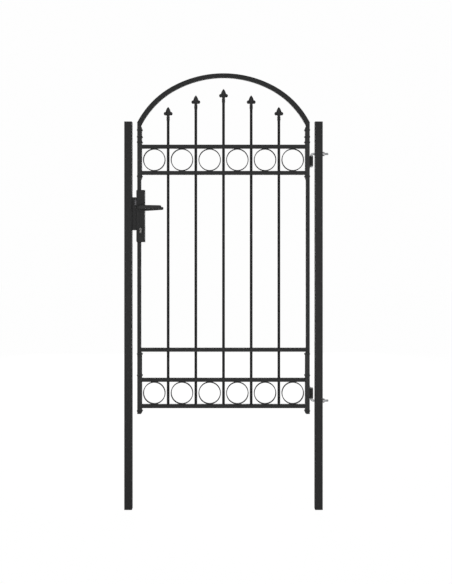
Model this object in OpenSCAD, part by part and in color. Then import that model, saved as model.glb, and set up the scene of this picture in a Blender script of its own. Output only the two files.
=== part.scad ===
// Arched garden gate: a welded and bolted tubular steel leaf between two square posts,
// with ring friezes, spear finials, pin hinges and a lever lock.
// Frame: +Z up, Z = 0 at the post feet, the leaf lies in the XZ plane,
// the front of the gate faces -Y and the hinges are on the +X side. Millimetres.

/* [Posts] */
// Height of the posts with their caps
post_h = 2000; // [1900:10:2200]
// Side of the square post tube
post_w = 40; // [38:1:50]
// Wall of the post tube
post_wall = 1.5; // [1.2:0.1:2.5]
// Clear width between the posts
clear_w = 942; // [936:2:950]

/* [Leaf] */
// Gap between each post and the leaf
side_gap = 26; // [25:0.5:28]
// Side of the square frame tube
tube_w = 20; // [20:0.5:22]
// Wall of the frame tube
tube_wall = 1.5; // [1.2:0.1:2]
// Height of the leaf's lower edge
leaf_z0 = 492; // [470:1:500]
// Height of the crown of the arch
leaf_top = 2249.5; // [2240:0.5:2270]
// Height where the upper and lower halves of the stiles meet
stile_joint_z = 1186; // [1100:1:1250]

/* [Arch] */
// Outer radius of the crown
crown_r = 550; // [540:1:560]
// Outer radius of the shoulders
shoulder_r = 447; // [442:1:450]
// Half angle of the crown sector
crown_a = 28.2; // [26:0.1:30]
// Radial height of the bent tube at the crown
arch_t = 22.5; // [20:0.5:24]
// How much deeper the bent tube is at its feet
arch_grow = 3.2; // [0:0.1:4]

/* [Bars and rings] */
// Pitch of the vertical bars
bar_pitch = 143; // [140:0.5:144]
// Diameter of the round bars
bar_d = 14; // [12:0.5:14]
// Height where the upper and lower halves of the bars meet
bar_joint_z = 1418.5; // [1350:0.5:1450]
// Thickness of the ring band
ring_t = 4; // [2:0.5:5]
// Height of the rings, which is the clear height of each ring frieze
ring_od = 115.5; // [115:0.5:116]

/* [Lock] */
// Width of the lock case
case_w = 43; // [42:0.5:44]
// Depth of the lock case
case_d = 40; // [38:1:42]
// Height of the lock case
case_h = 268.5; // [260:0.5:280]
// Height of the lever pivot
pivot_z = 1555; // [1550:1:1560]
// Length of the lever from its pivot
lever_l = 110; // [100:1:120]
// Distance of the middle of each lever from the leaf's plane
lever_y = 76; // [70:1:80]

/* [Hinges] */
// Diameter of the hinge pin and of its threaded rod
pin_d = 12; // [12:0.5:12.5]
// Outer diameter of the hinge barrel
barrel_d = 18; // [17:0.5:18]
// Free end of the threaded rod beyond the post
rod_end = 30.5; // [24:0.5:40]

/* [Hidden] */
$fn = 64;

// colours
black_paint = "#303030";
zinc = "#b9bcbd";
dark_plastic = "#262626";
nickel = "#a9a7a2";

// leaf layout
lw = clear_w / 2 - side_gap;               // outer face of a stile
px = clear_w / 2 + post_w / 2;             // centre of a post
axis_x = lw + barrel_d / 2;                // hinge axis
head_t = 1.2;                              // joint screw head
x_shift = -(rod_end - head_t) / 2;         // puts the origin under the middle of the whole gate
cap_t = 2;
post_joint_z = 1131.5;

// rails
frieze_top_z = 1871.5;
frieze_bot_z = frieze_top_z - ring_od - tube_w;
middle_z = 823;
base_top_z = 667.5;
base_bot_z = base_top_z - ring_od - tube_w;
sleeve_in = 4;                             // how far a sleeve stands inside the stile
sleeve_out = 2.4;                          // how far it stands in front and behind
rail_x = lw - tube_w - sleeve_in;          // end of a rail between two sleeves

// arch centres and mitre corners
c1 = leaf_top - crown_r;
cx = (crown_r - shoulder_r) * sin(crown_a);
cz = c1 + (crown_r - shoulder_r) * cos(crown_a);
mitre_zo = cz + sqrt(pow(shoulder_r, 2) - pow(lw - cx, 2));
mitre_zi = cz + sqrt(pow(shoulder_r - arch_t - arch_grow, 2) - pow(lw - tube_w - cx, 2));
mitre_a = atan2(mitre_zo - mitre_zi, tube_w);

// bars
bars = [-2, -1, 0, 1, 2];
tips = [2077, 2137, 2170, 2137, 2077];     // finial points

// lock
case_x0 = -lw - 3.5;                       // outer face of the case
case_x1 = case_x0 + case_w;
case_z1 = 1647;
case_z0 = case_z1 - case_h;
sheet = 2;
lock_x = -426;                             // axis of the lever and of the cylinder
latch_z0 = pivot_z + 13.5;
latch_z1 = latch_z0 + 30;
key_z = 1445;
bolt_z0 = key_z + 8.6;
bolt_z1 = bolt_z0 + 22.4;
latch_out = 11;                            // how far the latch stands out at rest
latch_travel = 11.28;
dead_travel = 17;
keeper_z0 = 1440;
keeper_z1 = 1609.5;

// hinges
upper_b0 = 1771; upper_b1 = 1822; upper_rod = 1834;
lower_b0 = 573; lower_b1 = 624; lower_rod = 560;
bend = 10;

module place() { translate([x_shift, 0, 0]) children(); }
module along_y(h) { rotate([90, 0, 0]) linear_extrude(h, center = true) children(); }

module tube(x, y, z0, z1, w, d, t) {
  translate([x, y, z0]) difference() {
    translate([-w / 2, -d / 2, 0]) cube([w, d, z1 - z0]);
    translate([-w / 2 + t, -d / 2 + t, -1]) cube([w - 2 * t, d - 2 * t, z1 - z0 + 2]);
  }
}

// a round hole along X
module x_hole(x0, x1, y, z, r) { translate([x0, y, z]) rotate([0, 90, 0]) cylinder(h = x1 - x0, r = r); }

// ---------------------------------------------------------------- posts

module post(side, z0, z1) {
  color(black_paint) place() difference() {
    tube(side * px, 0, z0, z1, post_w, post_w, post_wall);
    for (z = [post_joint_z - 17.5, post_joint_z + 17.5])
      if (z > z0 && z < z1) x_hole(side * px + (side > 0 ? 5 : -post_w), side * px + (side > 0 ? post_w : -5), 0, z, 3.1);
    if (side > 0) for (z = [lower_rod, upper_rod])
      if (z > z0 && z < z1) x_hole(px - post_w, px + post_w, 0, z, pin_d / 2 + 0.2);
    if (side < 0) for (z = [1505, 1545])
      if (z > z0 && z < z1) x_hole(-px + 5, -px + post_w, 0, z, 2.6);
  }
}
module latch_post_lower() { post(-1, 0, post_joint_z); }
module latch_post_upper() { post(-1, post_joint_z, post_h - cap_t); }
module hinge_post_lower() { post(1, 0, post_joint_z); }
module hinge_post_upper() { post(1, post_joint_z, post_h - cap_t); }

module post_joiner(side) {
  w = post_w - 2 * post_wall - 0.2;
  color(zinc) place() difference() {
    tube(side * px, 0, post_joint_z - 90, post_joint_z + 90, w, w, 2);
    for (z = [post_joint_z - 17.5, post_joint_z + 17.5])
      x_hole(side * px + (side > 0 ? 5 : -post_w), side * px + (side > 0 ? post_w : -5), 0, z, 3.05);
  }
}
module latch_post_joiner() { post_joiner(-1); }
module hinge_post_joiner() { post_joiner(1); }

// low button head screws that hold the two halves of each post
module post_joint_screws() {
  color(black_paint) place() for (side = [-1, 1], z = [post_joint_z - 17.5, post_joint_z + 17.5])
    translate([side * (px + post_w / 2), 0, z]) rotate([0, side * 90, 0]) difference() {
      union() {
        cylinder(h = head_t - 0.4, r = 7.5);
        cylinder(h = head_t, r = 6);
        translate([0, 0, -8]) cylinder(h = 9, r = 3);
      }
      translate([0, 0, head_t - 0.9]) cylinder(h = 2, r = 2.3, $fn = 6);
    }
}

// moulded cap with a ribbed plug inside the tube
module post_cap(side) {
  w = post_w - 2 * post_wall - 0.4;
  color(dark_plastic) place() translate([side * px, 0, post_h - cap_t]) {
    difference() {
      union() {
        translate([-post_w / 2, -post_w / 2, 0]) cube([post_w, post_w, cap_t]);
        translate([-w / 2, -w / 2, -14]) cube([w, w, 14.5]);
      }
      translate([-w / 2 + 2, -w / 2 + 2, -15]) cube([w - 4, w - 4, 15]);
    }
  }
}
module latch_post_cap() { post_cap(-1); }
module hinge_post_cap() { post_cap(1); }

// strike channel on the latch post: back plate, closed top and bottom, a stop flange behind the bolts
// and a front flange that the dead bolt slides in behind, with a slot for the latch head
module latch_keeper() {
  x0 = -clear_w / 2; x1 = case_x0 - 1.5;
  color(black_paint) place() difference() {
    union() {
      translate([x0, -16, keeper_z0]) cube([2, 26.8, keeper_z1 - keeper_z0]);
      translate([x0 + 1, 7.8, keeper_z0]) cube([x1 - x0 - 1, 3, keeper_z1 - keeper_z0]);
      translate([x0 + 1, -16, keeper_z0]) cube([x1 - x0 - 1, 2, keeper_z1 - keeper_z0]);
      for (z = [keeper_z0, keeper_z1 - 2]) translate([x0 + 1, -16, z]) cube([x1 - x0 - 1, 25, 2]);
    }
    translate([case_x0 - latch_out - 1.3, -17, latch_z0 - 1.5]) cube([20, 5, latch_z1 - latch_z0 + 3]);
    for (z = [1505, 1545]) x_hole(x0 - 1, x0 + 5, 0, z, 2.6);
  }
}
module keeper_screws() {
  color(zinc) place() for (z = [1505, 1545]) translate([-clear_w / 2 + 2, 0, z]) rotate([0, 90, 0]) difference() {
    union() {
      cylinder(h = 1.6, r = 4.6);
      cylinder(h = 2.4, r = 3.6);
      translate([0, 0, -10]) cylinder(h = 11, r = 2.5);
    }
    for (a = [0, 90]) rotate([0, 0, a]) translate([-2.6, -0.5, 1.2]) cube([5.2, 1, 2]);
  }
}

// bent hinge bolt: threaded rod through the post, a bend, and the pin in the barrel
module hinge_bolt(rod_z, dir, pin_l) {
  r = pin_d / 2;
  translate([axis_x, 0, rod_z]) mirror([0, 0, dir < 0 ? 1 : 0]) {
    // pin, pointing up in this local frame
    translate([0, 0, bend]) cylinder(h = pin_l, r = r);
    translate([0, 0, bend - 0.2]) cylinder(h = 1.8, r = barrel_d / 2 - 1);
    translate([bend, 0, bend]) rotate([90, 0, 0]) rotate([0, 0, 180]) rotate_extrude(angle = 90) translate([bend, 0]) circle(r = r);
    translate([bend, 0, 0]) rotate([0, 90, 0]) cylinder(h = px + post_w / 2 + rod_end - axis_x - bend - 1.2, r = r);
    translate([px + post_w / 2 + rod_end - axis_x - 1.2, 0, 0]) rotate([0, 90, 0]) cylinder(h = 1.2, r1 = r, r2 = r - 1.1);
  }
}
module upper_hinge_bolt() { color(zinc) place() hinge_bolt(upper_rod, -1, upper_rod - bend - upper_b0 + 6); }
module lower_hinge_bolt() { color(zinc) place() hinge_bolt(lower_rod, 1, lower_b1 + 6 - lower_rod - bend); }

module hinge_nuts() {
  color(zinc) place() for (z = [lower_rod, upper_rod])
    translate([px + post_w / 2 + 1.6, 0, z]) rotate([0, 90, 0]) difference() {
      rotate([0, 0, 30]) cylinder(h = 9, r = 19 / 2 / cos(30), $fn = 6);
      translate([0, 0, -1]) cylinder(h = 11, r = pin_d / 2 + 0.05);
    }
}
module hinge_washers() {
  color(zinc) place() for (z = [lower_rod, upper_rod])
    translate([px + post_w / 2, 0, z]) rotate([0, 90, 0]) difference() {
      cylinder(h = 1.6, r = 11);
      translate([0, 0, -1]) cylinder(h = 4, r = pin_d / 2 + 0.3);
    }
}

// ---------------------------------------------------------------- leaf frame

// point of the three-centred arch at angle a from the crown, e inside the outer face
function arch_pt(a, e) = abs(a) <= crown_a
  ? [(crown_r - e) * sin(a), c1 + (crown_r - e) * cos(a)]
  : [sign(a) * cx + (shoulder_r - e) * sin(a), cz + (shoulder_r - e) * cos(a)];
function arch_depth(a) = arch_t + arch_grow * min(abs(a) / 50, 1);
module arch_solid(e) {
  n = 33;
  along_y(tube_w - 2 * e) polygon(concat([for (k = [-n:n]) arch_pt(2 * k, e)], [for (k = [-n:n]) arch_pt(-2 * k, arch_depth(2 * k) - e)]));
}
// everything below (or above) the mitre plane between arch and stile
module mitre(side, up) {
  mirror([side < 0 ? 1 : 0, 0, 0]) translate([lw, 0, mitre_zo]) rotate([0, -mitre_a, 0])
    translate([-100, -50, up ? 0 : -250]) cube([200, 100, 250]);
}
module arch_tube() {
  color(black_paint) place() difference() {
    arch_solid(0);
    arch_solid(tube_wall);
    mitre(1, false);
    mitre(-1, false);
  }
}

module stile(side, z0, z1) {
  color(black_paint) place() difference() {
    tube(side * (lw - tube_w / 2), 0, z0, z1, tube_w, tube_w, tube_wall);
    if (z1 > mitre_zi) mitre(side, true);
    for (z = [-32, -7, 7, 32]) if (stile_joint_z + z > z0 && stile_joint_z + z < z1)
      x_hole(side * (lw - tube_w / 2) + (side > 0 ? 2 : -tube_w), side * (lw - tube_w / 2) + (side > 0 ? tube_w : -2), 0, stile_joint_z + z, 2.1);
  }
}
module latch_stile_upper() { stile(-1, case_z1, 2010); }
module latch_stile_middle() { stile(-1, stile_joint_z, case_z0); }
module latch_stile_lower() { stile(-1, leaf_z0 + cap_t, stile_joint_z); }
module hinge_stile_upper() { stile(1, stile_joint_z, 2010); }
module hinge_stile_lower() { stile(1, leaf_z0 + cap_t, stile_joint_z); }

module stile_joiner(side) {
  w = tube_w - 2 * tube_wall - 0.2;
  color(zinc) place() difference() {
    tube(side * (lw - tube_w / 2), 0, stile_joint_z - 60, stile_joint_z + 60, w, w, 1.5);
    for (z = [-32, -7, 7, 32])
      x_hole(side * (lw - tube_w / 2) + (side > 0 ? 2 : -tube_w), side * (lw - tube_w / 2) + (side > 0 ? tube_w : -2), 0, stile_joint_z + z, 2.05);
  }
}
module latch_stile_joiner() { stile_joiner(-1); }
module hinge_stile_joiner() { stile_joiner(1); }

module stile_joint_screws() {
  color(black_paint) place() for (side = [-1, 1], z = [-32, -7, 7, 32])
    translate([side * lw, 0, stile_joint_z + z]) rotate([0, side * 90, 0]) difference() {
      union() {
        cylinder(h = 0.6, r = 4.2);
        cylinder(h = 0.9, r = 3.2);
        translate([0, 0, -6]) cylinder(h = 6.5, r = 2);
      }
      translate([0, 0, 0.3]) cylinder(h = 2, r = 1.4, $fn = 6);
    }
}
module stile_foot_plugs() {
  w = tube_w - 2 * tube_wall - 0.2;
  color(dark_plastic) place() for (side = [-1, 1]) translate([side * (lw - tube_w / 2), 0, leaf_z0]) {
    translate([-tube_w / 2, -tube_w / 2, 0]) cube([tube_w, tube_w, cap_t]);
    translate([-w / 2, -w / 2, 0]) cube([w, w, 14]);
  }
}

// ornamental casting that wraps the inner, front and back faces of a stile, with raised beads
module sleeve(side, z0, z1, taper0, taper1, beads) {
  xi = lw - tube_w;
  color(black_paint) place() mirror([side < 0 ? 1 : 0, 0, 0]) difference() {
    union() {
      along_y(tube_w + 2 * sleeve_out) polygon([[lw, z0], [xi, z0], [xi - sleeve_in, z0 + taper0],
        [xi - sleeve_in, z1 - taper1], [xi, z1], [lw, z1]]);
      for (z = beads) {
        translate([xi - sleeve_in - 2.6, -tube_w / 2 - 3.4, z - 3.7]) cube([tube_w + sleeve_in + 3.8, tube_w + 6.8, 7.4]);
        translate([xi - sleeve_in - 4.4, -tube_w / 2 - 4, z - 2.2]) cube([tube_w + sleeve_in + 6.3, tube_w + 8, 4.4]);
      }
    }
    translate([xi, -tube_w / 2, z0 - 1]) cube([tube_w, tube_w, z1 - z0 + 2]);
    translate([lw - 1, -tube_w / 2 + 2, z0 - 1]) cube([1.01, tube_w - 4, z1 - z0 + 2]);
  }
}
upper_beads = [1717.5, 1894, 1921.5, 1957];
lower_beads = [508.5, 691.5, 801];
module latch_upper_sleeve() { sleeve(-1, 1697, 1976, 13, 9, upper_beads); }
module hinge_upper_sleeve() { sleeve(1, 1697, 1976, 13, 9, upper_beads); }
module latch_lower_sleeve() { sleeve(-1, 494, 811, 5, 8, lower_beads); }
module hinge_lower_sleeve() { sleeve(1, 494, 811, 5, 8, lower_beads); }

// square rail punched for the round bars
module rail(z, xe, through = true) {
  color(black_paint) place() difference() {
    translate([-xe, -tube_w / 2, z - tube_w / 2]) cube([2 * xe, tube_w, tube_w]);
    translate([-xe - 1, -tube_w / 2 + tube_wall, z - tube_w / 2 + tube_wall]) cube([2 * xe + 2, tube_w - 2 * tube_wall, tube_w - 2 * tube_wall]);
    for (i = bars) translate([i * bar_pitch, 0, through ? z - tube_w : z]) cylinder(h = through ? 2 * tube_w : tube_w, r = bar_d / 2 + 0.1);
  }
}
module frieze_rail_top() { rail(frieze_top_z, rail_x); }
module frieze_rail_bottom() { rail(frieze_bot_z, rail_x); }
module middle_rail() { rail(middle_z, lw - tube_w); }
module base_rail_top() { rail(base_top_z, rail_x); }
module base_rail_bottom() { rail(base_bot_z, rail_x, false); }

// ---------------------------------------------------------------- bars, finials, rings

module bar(i, z0, z1) {
  translate([i * bar_pitch, 0, z0]) difference() {
    cylinder(h = z1 - z0, r = bar_d / 2);
    translate([0, 0, -1]) cylinder(h = z1 - z0 + 2, r = bar_d / 2 - 1.2);
  }
}
module upper_bars() { color(black_paint) place() for (i = bars) bar(i, bar_joint_z, tips[i + 2] - 54); }
module lower_bars() { color(black_paint) place() for (i = bars) bar(i, base_bot_z - tube_w / 2 + tube_wall, bar_joint_z); }
module bar_spigots() {
  color(zinc) place() for (i = bars) translate([i * bar_pitch, 0, bar_joint_z - 45]) cylinder(h = 90, r = bar_d / 2 - 1.3);
}

// cast spear point with two round side lobes and a socket for the bar
module finial(i) {
  translate([i * bar_pitch, 0, tips[i + 2]]) difference() {
    union() {
      along_y(12) {
        polygon([[0, 0], [2.6, -3], [6.3, -8], [8.9, -13], [10.9, -18], [12.6, -23.5], [15.2, -27.5], [15.2, -42], [10.5, -45], [7.6, -49],
          [-7.6, -49], [-10.5, -45], [-15.2, -42], [-15.2, -27.5], [-12.6, -23.5], [-10.9, -18], [-8.9, -13], [-6.3, -8], [-2.6, -3]]);
        for (s = [-1, 1]) translate([s * 15.2, -34.8]) circle(r = 7.3);
      }
      translate([0, 0, -66]) cylinder(h = 18, r = bar_d / 2 + 1.2);
      translate([0, 0, -74]) cylinder(h = 8, r1 = bar_d / 2 + 0.3, r2 = bar_d / 2 + 1.2);
    }
    translate([0, 0, -75]) cylinder(h = 21, r = bar_d / 2 + 0.05);
  }
}
module centre_finial() { color(black_paint) place() finial(0); }
module inner_finials() { color(black_paint) place() for (i = [-1, 1]) finial(i); }
module outer_finials() { color(black_paint) place() for (i = [-2, 2]) finial(i); }

// flat band rolled on edge into a circle and welded between two rails
module ring(i, z) {
  translate([(i + 0.5) * bar_pitch, 0, z]) rotate([90, 0, 0]) difference() {
    cylinder(h = tube_w, r = ring_od / 2 - 0.05, center = true, $fn = 128);
    cylinder(h = tube_w + 2, r = ring_od / 2 - ring_t, center = true, $fn = 128);
  }
}
module frieze_rings() { color(black_paint) place() for (i = [-3:2]) ring(i, (frieze_top_z + frieze_bot_z) / 2); }
module base_rings() { color(black_paint) place() for (i = [-3:2]) ring(i, (base_top_z + base_bot_z) / 2); }

// barrel welded to the hinge stile on a narrow saddle
module hinge_barrel(z0, z1) {
  color(black_paint) place() difference() {
    union() {
      translate([axis_x, 0, z0]) cylinder(h = z1 - z0, r = barrel_d / 2);
      translate([lw, -6, z0 + 1.5]) cube([4.5, 12, z1 - z0 - 3]);
    }
    translate([axis_x, 0, z0 - 1]) cylinder(h = z1 - z0 + 2, r = pin_d / 2 + 0.08);
  }
}
module upper_hinge_barrel() { hinge_barrel(upper_b0, upper_b1); }
module lower_hinge_barrel() { hinge_barrel(lower_b0, lower_b1); }

// ---------------------------------------------------------------- lock

module case_outline(e) {
  r = 5 - e;
  x0 = case_x0 + e; x1 = case_x1 - e; z0 = case_z0 + e; z1 = case_z1 - e;
  union() {
    translate([x0 + r, z0]) square([x1 - x0 - r, z1 - z0]);
    translate([x0, z0 + r]) square([r + 1, z1 - z0 - 2 * r]);
    for (z = [z0 + r, z1 - r]) translate([x0 + r, z]) circle(r = r);
  }
}
module euro_profile(e) {
  translate([lock_x, key_z]) circle(r = 8.5 + e);
  translate([lock_x - 5 - e, key_z - 19.5]) square([10 + 2 * e, 19.5]);
  translate([lock_x, key_z - 19.5]) circle(r = 5 + e);
}
lug_pts = [[case_x0 + 7, case_z0 + 8], [case_x1 - 7, case_z0 + 8], [case_x0 + 7, case_z1 - 8], [case_x1 - 7, case_z1 - 8]];

module lock_case() {
  color(black_paint) place() difference() {
    union() {
      translate([0, sheet / 2, 0]) difference() {
        along_y(case_d - sheet) case_outline(0);
        translate([0, -sheet, 0]) along_y(case_d - sheet) case_outline(sheet);
      }
      for (p = lug_pts) translate([p[0], 0, p[1]]) rotate([90, 0, 0]) translate([0, 0, -(case_d / 2 - 1)]) cylinder(h = case_d - sheet - 1, r = 4);
    }
    for (p = lug_pts) translate([p[0], 0, p[1]]) rotate([90, 0, 0]) translate([0, 0, case_d / 2 - sheet - 14]) cylinder(h = 20, r = 2.05);
    translate([case_x0 - 1, -7.3, latch_z0 - 0.3]) cube([5, 14.6, latch_z1 - latch_z0 + 0.6]);
    translate([case_x0 - 1, -6.3, bolt_z0 - 0.3]) cube([5, 12.6, bolt_z1 - bolt_z0 + 0.6]);
    x_hole(case_x0 - 1, case_x0 + 5, 0, key_z - 18, 2.6);
    translate([lock_x, case_d / 2 + 1, pivot_z]) rotate([90, 0, 0]) cylinder(h = 5, r = 12.1);
    translate([0, case_d / 2, 0]) along_y(10) euro_profile(0.3);
  }
}
module lock_cover() {
  color(black_paint) place() difference() {
    translate([0, -case_d / 2 + sheet / 2, 0]) along_y(sheet) case_outline(0);
    for (p = lug_pts) translate([p[0], 0, p[1]]) rotate([90, 0, 0]) cylinder(h = 40, r = 2.2);
    translate([lock_x, 0, pivot_z]) rotate([90, 0, 0]) cylinder(h = 40, r = 12.1);
    translate([0, -case_d / 2, 0]) along_y(10) euro_profile(0.3);
  }
}
module lock_cover_screws() {
  color(black_paint) place() for (p = lug_pts) translate([p[0], -case_d / 2, p[1]]) rotate([90, 0, 0]) difference() {
    union() {
      cylinder(h = 0.9, r = 3.6);
      cylinder(h = 1.4, r = 2.6);
      translate([0, 0, -12]) cylinder(h = 12.5, r = 2);
    }
    for (a = [0, 90]) rotate([0, 0, a]) translate([-1.9, -0.4, 0.7]) cube([3.8, 0.8, 2]);
  }
}
module handle_bushes() {
  color(dark_plastic) place() for (s = [-1, 1]) translate([lock_x, s * case_d / 2, pivot_z]) rotate([s > 0 ? -90 : 90, 0, 0]) difference() {
    union() {
      cylinder(h = 2, r = 14.5);
      translate([0, 0, -4]) cylinder(h = 5, r = 12);
    }
    translate([0, 0, -5]) cylinder(h = 10, r = 9.08);
  }
}
// double profile cylinder with the middle cut away for the cam
module lock_cylinder() {
  color(nickel) place() difference() {
    along_y(54) euro_profile(0);
    translate([lock_x - 20, -5.2, key_z - 9]) cube([40, 10.4, 40]);
    translate([lock_x, 30, key_z]) rotate([90, 0, 0]) cylinder(h = 60, r = 6.56);
    x_hole(lock_x - 10, lock_x + 2, 0, key_z - 18, 2.6);
  }
}
module cylinder_screw() {
  color(zinc) place() translate([case_x0, 0, key_z - 18]) rotate([0, 90, 0]) difference() {
    union() {
      translate([0, 0, -1]) cylinder(h = 1, r = 4.4);
      translate([0, 0, -0.5]) cylinder(h = lock_x + 0.5 - case_x0 + 0.5, r = 2.5);
    }
    for (a = [0, 90]) rotate([0, 0, a]) translate([-2.2, -0.4, -2]) cube([4.4, 0.8, 1.6]);
  }
}
module cylinder_plug() {
  color(nickel) place() translate([lock_x, 0, key_z]) difference() {
    union() {
      rotate([90, 0, 0]) cylinder(h = 54.6, r = 6.5, center = true);
      rotate([90, 0, 0]) cylinder(h = 9.6, r = 8, center = true);
      rotate([0, 45, 0]) translate([-2.5, -4.5, 0]) cube([5, 9, 14.5]);
    }
    for (s = [-1, 1]) translate([-1, s > 0 ? 15 : -35, -4]) cube([2, 20, 8]);
  }
}

// lever: round neck, then a flat tapered grip
module handle(s) {
  y0 = case_d / 2 - 3.5;
  color(black_paint) place() translate([lock_x, 0, pivot_z]) mirror([0, s > 0 ? 0 : 1, 0]) difference() {
    union() {
      translate([0, y0, 0]) rotate([-90, 0, 0]) cylinder(h = lever_y - y0, r = 9);
      translate([0, lever_y, 0]) along_y(16)
        polygon([[-6, -10.8], [0, -11.5], [20, -11.3], [50, -9.6], [85, -7.2], [lever_l - 3, -5.8], [lever_l, -3.6], [lever_l, 7.6],
          [lever_l - 3, 9.8], [60, 10.8], [20, 11.3], [0, 11.5], [-6, 10.8], [-10.8, 6], [-10.8, -6]]);
    }
    translate([-4.05, y0 - 1, -4.05]) cube([8.1, lever_y - y0 - 2, 8.1]);
    translate([0, case_d / 2 + 14, -4]) rotate([180, 0, 0]) cylinder(h = 8, r = 2.05);
  }
}
module front_handle() { handle(-1); }
module rear_handle() { handle(1); }
module handle_spindle() {
  color(zinc) place() translate([lock_x - 4, -lever_y + 6, pivot_z - 4]) cube([8, 2 * lever_y - 12, 8]);
}
module handle_grub_screws() {
  color(zinc) place() for (s = [-1, 1]) translate([lock_x, s * (case_d / 2 + 14), pivot_z - 4]) rotate([180, 0, 0]) difference() {
    cylinder(h = 4.6, r = 2);
    translate([0, 0, 2.6]) cylinder(h = 3, r = 1.1, $fn = 6);
  }
}
// hub on the spindle, with the arm that draws the latch back
module lock_follower() {
  color(zinc) place() translate([lock_x, 0, pivot_z]) difference() {
    union() {
      rotate([90, 0, 0]) cylinder(h = 30, r = 10, center = true);
      rotate([0, -20, 0]) translate([-2.5, -3.5, 0]) cube([5, 7, 19.5]);
    }
    translate([-4.05, -20, -4.05]) cube([8.1, 40, 8.1]);
  }
}
module latch_bolt() {
  x0 = case_x0 - latch_out; w = 7;
  nx = lock_x - 5.64;
  color(zinc) place() difference() {
    union() {
      translate([0, 0, latch_z0]) linear_extrude(latch_z1 - latch_z0)
        polygon([[x0, -w], [x0 + latch_out + 4.5, -w], [x0 + latch_out + 4.5, w], [x0 + latch_out - 0.5, w], [x0, -w + 4]]);
      translate([x0 + latch_out + 4, -5, latch_z0]) cube([lock_x + 6 - x0 - latch_out - 4, 10, 19]);
    }
    translate([nx - 3.8, -10, latch_z0 - 1]) cube([7.6, 20, 8]);
  }
}
// compression spring behind the latch head
spring_z = latch_z0 + 24.5;
spring_x0 = case_x0 + 4.6;
spring_x1 = case_x1 - sheet - 0.1;
spring_turns = 9; spring_r = 3.4; spring_w = 0.5; spring_seg = 14; spring_sides = 6;
module latch_spring() {
  n = spring_turns * spring_seg;
  l = spring_x1 - spring_x0 - 2 * spring_w;
  pts = [for (k = [0:n], j = [0:spring_sides - 1]) let (a = 360 * k / spring_seg, b = 360 * j / spring_sides, q = spring_r + spring_w * cos(b))
    [spring_x0 + spring_w + l * k / n + spring_w * sin(b), q * cos(a), spring_z + q * sin(a)]];
  faces = concat(
    [[for (j = [0:spring_sides - 1]) j]],
    [for (k = [0:n - 1], j = [0:spring_sides - 1]) let (m = (j + 1) % spring_sides)
      [k * spring_sides + m, k * spring_sides + j, (k + 1) * spring_sides + j, (k + 1) * spring_sides + m]],
    [[for (j = [0:spring_sides - 1]) n * spring_sides + spring_sides - 1 - j]]);
  color(zinc) place() polyhedron(pts, faces, convexity = 10);
}
module dead_bolt() {
  nx = lock_x + 14.5 * sin(45) * 0.83;
  color(zinc) place() difference() {
    translate([case_x0 + 0.2, -6, bolt_z0]) cube([case_w - sheet - 0.7, 12, bolt_z1 - bolt_z0]);
    translate([nx - 4, -10, bolt_z0 - 1]) cube([8, 20, 8]);
  }
}

latch_post_lower();
latch_post_upper();
hinge_post_lower();
hinge_post_upper();
latch_post_joiner();
hinge_post_joiner();
post_joint_screws();
latch_post_cap();
hinge_post_cap();
latch_keeper();
keeper_screws();
upper_hinge_bolt();
lower_hinge_bolt();
hinge_nuts();
hinge_washers();
arch_tube();
latch_stile_upper();
latch_stile_middle();
latch_stile_lower();
hinge_stile_upper();
hinge_stile_lower();
latch_stile_joiner();
hinge_stile_joiner();
stile_joint_screws();
stile_foot_plugs();
latch_upper_sleeve();
latch_lower_sleeve();
hinge_upper_sleeve();
hinge_lower_sleeve();
frieze_rail_top();
frieze_rail_bottom();
middle_rail();
base_rail_top();
base_rail_bottom();
upper_bars();
lower_bars();
bar_spigots();
centre_finial();
inner_finials();
outer_finials();
frieze_rings();
base_rings();
upper_hinge_barrel();
lower_hinge_barrel();
lock_case();
lock_cover();
lock_cover_screws();
handle_bushes();
lock_cylinder();
cylinder_screw();
front_handle();
rear_handle();
handle_spindle();
handle_grub_screws();
lock_follower();
latch_bolt();
latch_spring();
dead_bolt();
cylinder_plug();
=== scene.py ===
import math

import bmesh
import bpy
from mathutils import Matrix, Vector


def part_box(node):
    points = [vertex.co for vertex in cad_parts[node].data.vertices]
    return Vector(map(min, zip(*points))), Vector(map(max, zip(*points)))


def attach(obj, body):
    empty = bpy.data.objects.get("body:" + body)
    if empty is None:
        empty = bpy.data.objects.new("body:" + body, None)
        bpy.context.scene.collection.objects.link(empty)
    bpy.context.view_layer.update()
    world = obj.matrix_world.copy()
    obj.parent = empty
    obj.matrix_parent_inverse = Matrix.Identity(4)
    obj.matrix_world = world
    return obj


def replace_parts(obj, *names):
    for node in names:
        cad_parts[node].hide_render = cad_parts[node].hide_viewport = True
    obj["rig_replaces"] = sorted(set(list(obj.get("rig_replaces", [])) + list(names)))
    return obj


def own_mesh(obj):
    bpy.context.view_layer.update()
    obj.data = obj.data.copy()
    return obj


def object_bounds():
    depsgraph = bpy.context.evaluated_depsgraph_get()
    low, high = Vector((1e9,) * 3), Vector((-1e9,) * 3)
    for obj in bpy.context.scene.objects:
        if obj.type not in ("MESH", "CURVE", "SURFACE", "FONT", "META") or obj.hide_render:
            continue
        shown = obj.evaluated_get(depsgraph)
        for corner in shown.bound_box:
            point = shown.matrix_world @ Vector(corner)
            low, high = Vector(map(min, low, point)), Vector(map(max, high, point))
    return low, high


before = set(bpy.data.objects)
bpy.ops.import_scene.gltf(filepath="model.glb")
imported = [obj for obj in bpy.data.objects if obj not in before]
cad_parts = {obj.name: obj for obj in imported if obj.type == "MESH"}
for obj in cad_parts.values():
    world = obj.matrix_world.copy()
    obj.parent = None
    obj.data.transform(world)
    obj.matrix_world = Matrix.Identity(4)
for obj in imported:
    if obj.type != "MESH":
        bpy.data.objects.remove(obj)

CAD_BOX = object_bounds()

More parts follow.
